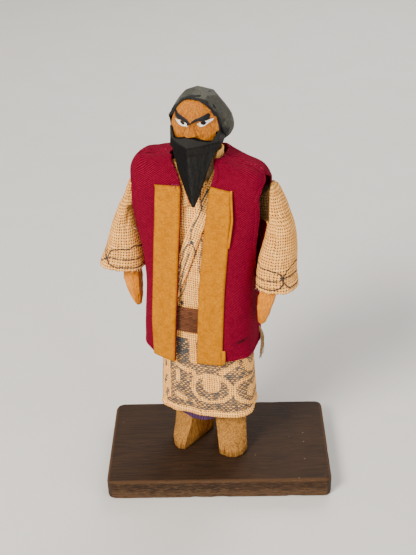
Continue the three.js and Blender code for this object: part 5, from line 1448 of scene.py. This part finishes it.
def sleeve_mesh(side):
    s = 1 if side == "left" else -1
    rows = np.array([r if len(r) == 5 else [r[0], r[1], r[2] if side == "left" else r[3], r[4], r[5]] for r in SLEEVE_TOP[side] + SLEEVE], float)[::-1]
    zlo, zhi = rows[0, 0], rows[-1, 0]
    z = np.concatenate([[zlo, zlo + 0.15, zlo + 0.4], np.arange(zlo + 0.8, zhi - 0.5, 0.6), [zhi]])
    R = np.stack([np.interp(z, rows[:, 0], rows[:, k]) for k in range(5)], -1)
    ker = np.exp(-np.linspace(-2, 2, 7) ** 2)
    ker /= ker.sum()
    for k in range(1, 5):
        pad = np.pad(R[:, k], 3, mode="edge")
        R[:, k] = np.convolve(pad, ker, "valid")
    C = 150
    k = np.linspace(0, 2 * PI, 1201) - PI / 2
    hole = 36.3 if side == "left" else 33.6  # inside of this the cloth is drawn in towards the shoulder nail
    P, S, U = [], [], []
    per = 0
    for z_, xin, xo, d, yc in R:
        a, b, cx = (xo - xin) / 2, d, (xo + xin) / 2
        e = 2 / 2.5
        px = np.sign(np.cos(k)) * np.abs(np.cos(k)) ** e
        py = np.sign(np.sin(k)) * np.abs(np.sin(k)) ** e
        c = np.stack([cx + a * px, yc + b * py], -1)
        if z_ > 142.8:
            tuck = smooth(hole + 0.6, hole - 0.9, c[:, 0])
            lim_y = 5.3
            c[:, 1] += tuck * (np.clip(c[:, 1], -lim_y, lim_y) - c[:, 1])
        ln = np.concatenate([[0], np.cumsum(np.linalg.norm(np.diff(c, axis=0), axis=1))])
        w = np.linspace(0, ln[-1], C + 1)[:-1]
        P.append(np.stack([np.interp(w, ln, c[:, 0]), np.interp(w, ln, c[:, 1]), np.full(C, z_)], -1))
        U.append(np.interp(w, ln, k))
        S.append(w)
        per = max(per, ln[-1])
    P, S, U = np.array(P), np.array(S), np.array(U)
    h = P[..., 2] - zlo
    # outward direction in the section
    nx = P[..., :2] - np.stack([(R[:, 1] + R[:, 2]) / 2, R[:, 4]], -1)[:, None]
    nx /= np.maximum(np.linalg.norm(nx, axis=2, keepdims=True), 1e-6)
    outer_side = smooth(-0.5, 0.3, np.cos(U))
    q = S / S.max()
    crease = 0.34 * np.sin(h / 5.6 + 3.0 * np.sin(U * 1.0 + s) + (0.9 if s > 0 else 0)) * smooth(2, 10, h) * smooth(zhi - zlo, zhi - zlo - 8, h)
    run = 0.26 * np.sin(U * 3 + 0.06 * h + s * 0.7) * smooth(30, 6, h)
    cuff = 0.30 * smooth(4.6, 3.8, h) - 0.22 * np.exp(-((h - 4.9) / 0.5) ** 2)
    disp = (crease + run) * (0.3 + 0.7 * outer_side) * smooth(154, 146, P[..., 2]) + cuff * 0.8
    if side == "right":  # a deep fold runs down from the armhole over the inner front
        disp = disp - 0.8 * np.exp(-((P[..., 0] - 34.2 - (150 - P[..., 2]) * 0.10) / 0.8) ** 2) * smooth(126, 136, P[..., 2]) * (P[..., 1] < 0)
    disp = np.where(outer_side < 0.5, np.minimum(disp, 0.05), disp)
    O = P.copy()
    O[..., :2] += nx * disp[..., None]
    O[..., 2] += (0.16 * np.sin(S * 2 * PI / 9.1) + 0.12 * np.sin(S * 2 * PI / 4.3 + 1)) * smooth(4, 0, h)
    ins = 1.15
    I = P.copy()
    lim = np.stack([np.maximum((R[:, 2] - R[:, 1]) / 2 - ins, 0.3) / ((R[:, 2] - R[:, 1]) / 2), np.maximum(R[:, 3] - ins, 0.3) / R[:, 3]], -1)[:, None]
    cen = np.stack([(R[:, 1] + R[:, 2]) / 2, R[:, 4]], -1)[:, None]
    I[..., :2] = cen + (P[..., :2] - cen) * lim
    I[..., :2] += nx * np.minimum(disp, 0.3)[..., None] * smooth(30, 10, h)[..., None]
    I[..., 2] = O[..., 2] * 1.0
    top_in = z < zhi - 1.4
    I = I[top_in]
    # print: three dark lines round the cuff that meet in a star at the front outer corner, and part again
    su = np.stack([S * per / np.maximum(S.max(1, keepdims=True) + (S[:, 1:2] - S[:, 0:1]), 1e-6), h], -1)
    su[..., 0] = np.where(su[..., 0] > per * 0.62, su[..., 0] - per, su[..., 0])
    star = (5.4, 8.3) if s > 0 else (6.8, 5.6)
    X0 = star[0]
    far = 0.62 * per
    w3 = [(-30, 12.2), (-24, 12.6), (-18, 11.8), (-13, 12.5), (-9, 13.6), (-6.5, 12.4), (-2, 12.3), (2, 11.6), (4.6, 10.6), star]
    w2 = [(-30, 6.6), (-20, 6.2), (-10, 6.5), (0, 6.7), (4, 7.0), star]
    w1 = [(-30, 1.8), (-20, 2.2), (-12, 1.6), (-5, 2.1), (0, 2.0), (3.5, 2.8), (6, 5.0), star]
    o3 = [star, (X0 + 2.2, 11.6), (X0 + 5.4, 13.6), (X0 + 9.0, 14.4), (X0 + 14, 12.8), (X0 + 20, 12.4), (far, 12.2)]
    o2 = [star, (X0 + 4, 8.6), (X0 + 8.5, 8.8), (X0 + 14, 7.4), (far, 6.6)]
    o1 = [star, (X0 + 1.8, 4.6), (X0 + 4.0, 2.6), (X0 + 8.5, 2.8), (X0 + 15, 2.0), (far, 1.8)]
    pr = np.full(h.shape, 9.0)
    for l in (w3, w2, w1, o3, o2, o1):
        pr = np.minimum(pr, d_poly(su, l, 0.42))
    pr = np.minimum(pr, d_disc(su, star, 1.0, 1.0))
    # painted shade: the cloth drawn into the armhole, inside the hole line, is darkened
    dark = smooth(hole + 0.3, hole - 0.5, P[..., 0]) * smooth(142.2, 143.4, P[..., 2])
    def place(A):
        B = A.copy()
        B[..., 0] = s * A[..., 0] + SHOULDER_CX
        return B
    uv = np.stack([S * per / np.maximum(S.max(1, keepdims=True) + (S[:, 1:2] - S[:, 0:1]), 1e-6), h], -1)
    # the dome closes: rows shrink to the crown and the last ring is filled by a small cap of rings
    def cap(A):
        c = A[-1].mean(0)
        rings = [A[-1] + (c - A[-1]) * f for f in (0.35, 0.7, 0.97)]
        rings = [r + np.array([0, 0, 0.25 * f]) for r, f in zip(rings, (0.5, 0.9, 1.0))]
        return np.concatenate([A, np.array(rings)])
    O2, I2 = cap(O), cap(I)
    uv2 = np.concatenate([uv, uv[-1:], uv[-1:], uv[-1:]])
    pr2 = np.concatenate([pr, pr[-1:], pr[-1:], pr[-1:]])
    dk2 = np.concatenate([dark, dark[-1:], dark[-1:], dark[-1:]])
    return place(O2), place(I2), uv2, per, {"print": pr2, "jag": np.full(pr2.shape, 0.2), "ink": np.full(pr2.shape, 0.9), "dark": dk2}, place(O)


for side in ("left", "right"):
    O, I, uv, per, at, body = sleeve_mesh(side)
    ob = shell("sleeve_cloth_" + side, O, I, uv, wrap=True, period=per, attrs=at)
    dress(ob, SLEEVE_CLOTH, "arm_%s_body" % side, "burlap", "sleeve_" + side)
    declare(ob, body, True)


# ---------------------------------------------------------------- loose threads
def hair_thread(p, d, length, curl, seed, n=9):
    r = np.random.default_rng(seed)
    d = np.asarray(d, float)
    d /= np.linalg.norm(d)
    side_v = np.cross(d, r.normal(size=3))
    side_v /= np.linalg.norm(side_v)
    f = np.linspace(0, 1, n)[:, None]
    return np.asarray(p, float) + d * f * length + side_v * curl * length * np.sin(f * 2.4)


# a bit of straw caught at the right sleeve, and loose weft ends along the cuffs
def fringe(side):
    s = 1 if side == "left" else -1
    O, I, uv, per, at, body = sleeve_mesh(side)
    out = []
    for k in range(26):
        j = int(rng.integers(0, O.shape[1]))
        p = O[0, j]
        c = O[0].mean(0)
        d = (p - c) * np.array([1, 1, 0])
        d /= np.linalg.norm(d)
        out.append(hair_thread(p - d * 0.4 + np.array([0, 0, 0.25]), d * 0.5 + np.array([rng.normal() * 0.5, rng.normal() * 0.5, -0.7]), 0.7 + rng.random() * 1.3, 0.25, 100 + k))
    return out


for side in ("left", "right"):
    paths = fringe(side)
    if side == "right":
        paths.append(hair_thread((-34.6, -8.6, 131.4), (0.75, -0.55, 0.35), 3.4, 0.12, 5))
    fr = dress(strands("cuff_fibres_" + side, paths, 0.13, 0.06), STRAW, "arm_%s_body" % side, "burlap")

red = []
for k in range(7):
    red.append(hair_thread((-7.6 - 0.5 * k, -13.6 - 0.05 * k, 160.6 + 0.15 * (k % 3)), (0.2 * rng.normal(), -0.5, -1.0 + 0.4 * rng.normal()), 1.6 + rng.random() * 1.6, 0.3, 300 + k))
dress(strands("neck_threads", red, 0.12, 0.06), THREAD, "figure", "crimson_twill")


# ---------------------------------------------------------------- camera, floor and light
def camera():
    cd = bpy.data.cameras.new("camera")
    cam = bpy.data.objects.new("camera", cd)
    bpy.context.scene.collection.objects.link(cam)
    cd.sensor_width, cd.sensor_fit, cd.lens = 36.0, "AUTO", 64.865
    cd.clip_start, cd.clip_end = 0.01, 50
    pitch, roll, yaw = math.radians(30.775), math.radians(-1.799), math.radians(-1.354)
    f0, r0, z = Vector((math.sin(yaw), math.cos(yaw), 0)), Vector((math.cos(yaw), -math.sin(yaw), 0)), Vector((0, 0, 1))
    fwd = f0 * math.cos(pitch) - z * math.sin(pitch)
    up = z * math.cos(pitch) + f0 * math.sin(pitch)
    r, u = r0 * math.cos(roll) + up * math.sin(roll), -r0 * math.sin(roll) + up * math.cos(roll)
    cam.matrix_world = Matrix(((r.x, u.x, -fwd.x, 0.0070), (r.y, u.y, -fwd.y, -0.43414), (r.z, u.z, -fwd.z, 0.37606), (0, 0, 0, 1)))
    bpy.context.scene.camera = cam


camera()


def floor():
    g = Graph("pale_floor")
    x, y, z = g.row_mm()
    n = g.noise(g.xyz(x, y, z), 0.02, 3.0)
    g.done(g.mix(n, "#DAD4CB", "#E2DDD5"), 0.85, None, spec=0.2)
    bpy.ops.mesh.primitive_plane_add(size=12, location=(0, 0, -0.00005))
    o = bpy.context.active_object
    o.name = "floor"
    o.data.materials.append(g.mat)


floor()


def area(name, loc, aim, size, power, color=(1, 1, 1)):
    l = bpy.data.lights.new(name, "AREA")
    l.shape, l.size, l.energy, l.color = "DISK", size, power, color
    o = bpy.data.objects.new(name, l)
    bpy.context.scene.collection.objects.link(o)
    o.location = loc
    o.rotation_mode = "QUATERNION"
    o.rotation_quaternion = (Vector(aim) - Vector(loc)).to_track_quat("-Z", "Y")
    return o


area("key", (-0.75, -0.85, 1.05), (0, 0, 0.11), 0.55, 31, (1.0, 0.97, 0.92))
area("fill", (0.95, -0.75, 0.55), (0, 0, 0.11), 0.9, 6, (0.95, 0.97, 1.0))
area("rim", (0.3, 0.9, 0.9), (0, 0, 0.12), 0.7, 8, (1.0, 0.98, 0.95))
world = bpy.data.worlds.new("world")
bpy.context.scene.world = world
world.use_nodes = True
world.node_tree.nodes["Background"].inputs[0].default_value = (0.93, 0.95, 1.0, 1)
world.node_tree.nodes["Background"].inputs[1].default_value = 0.6
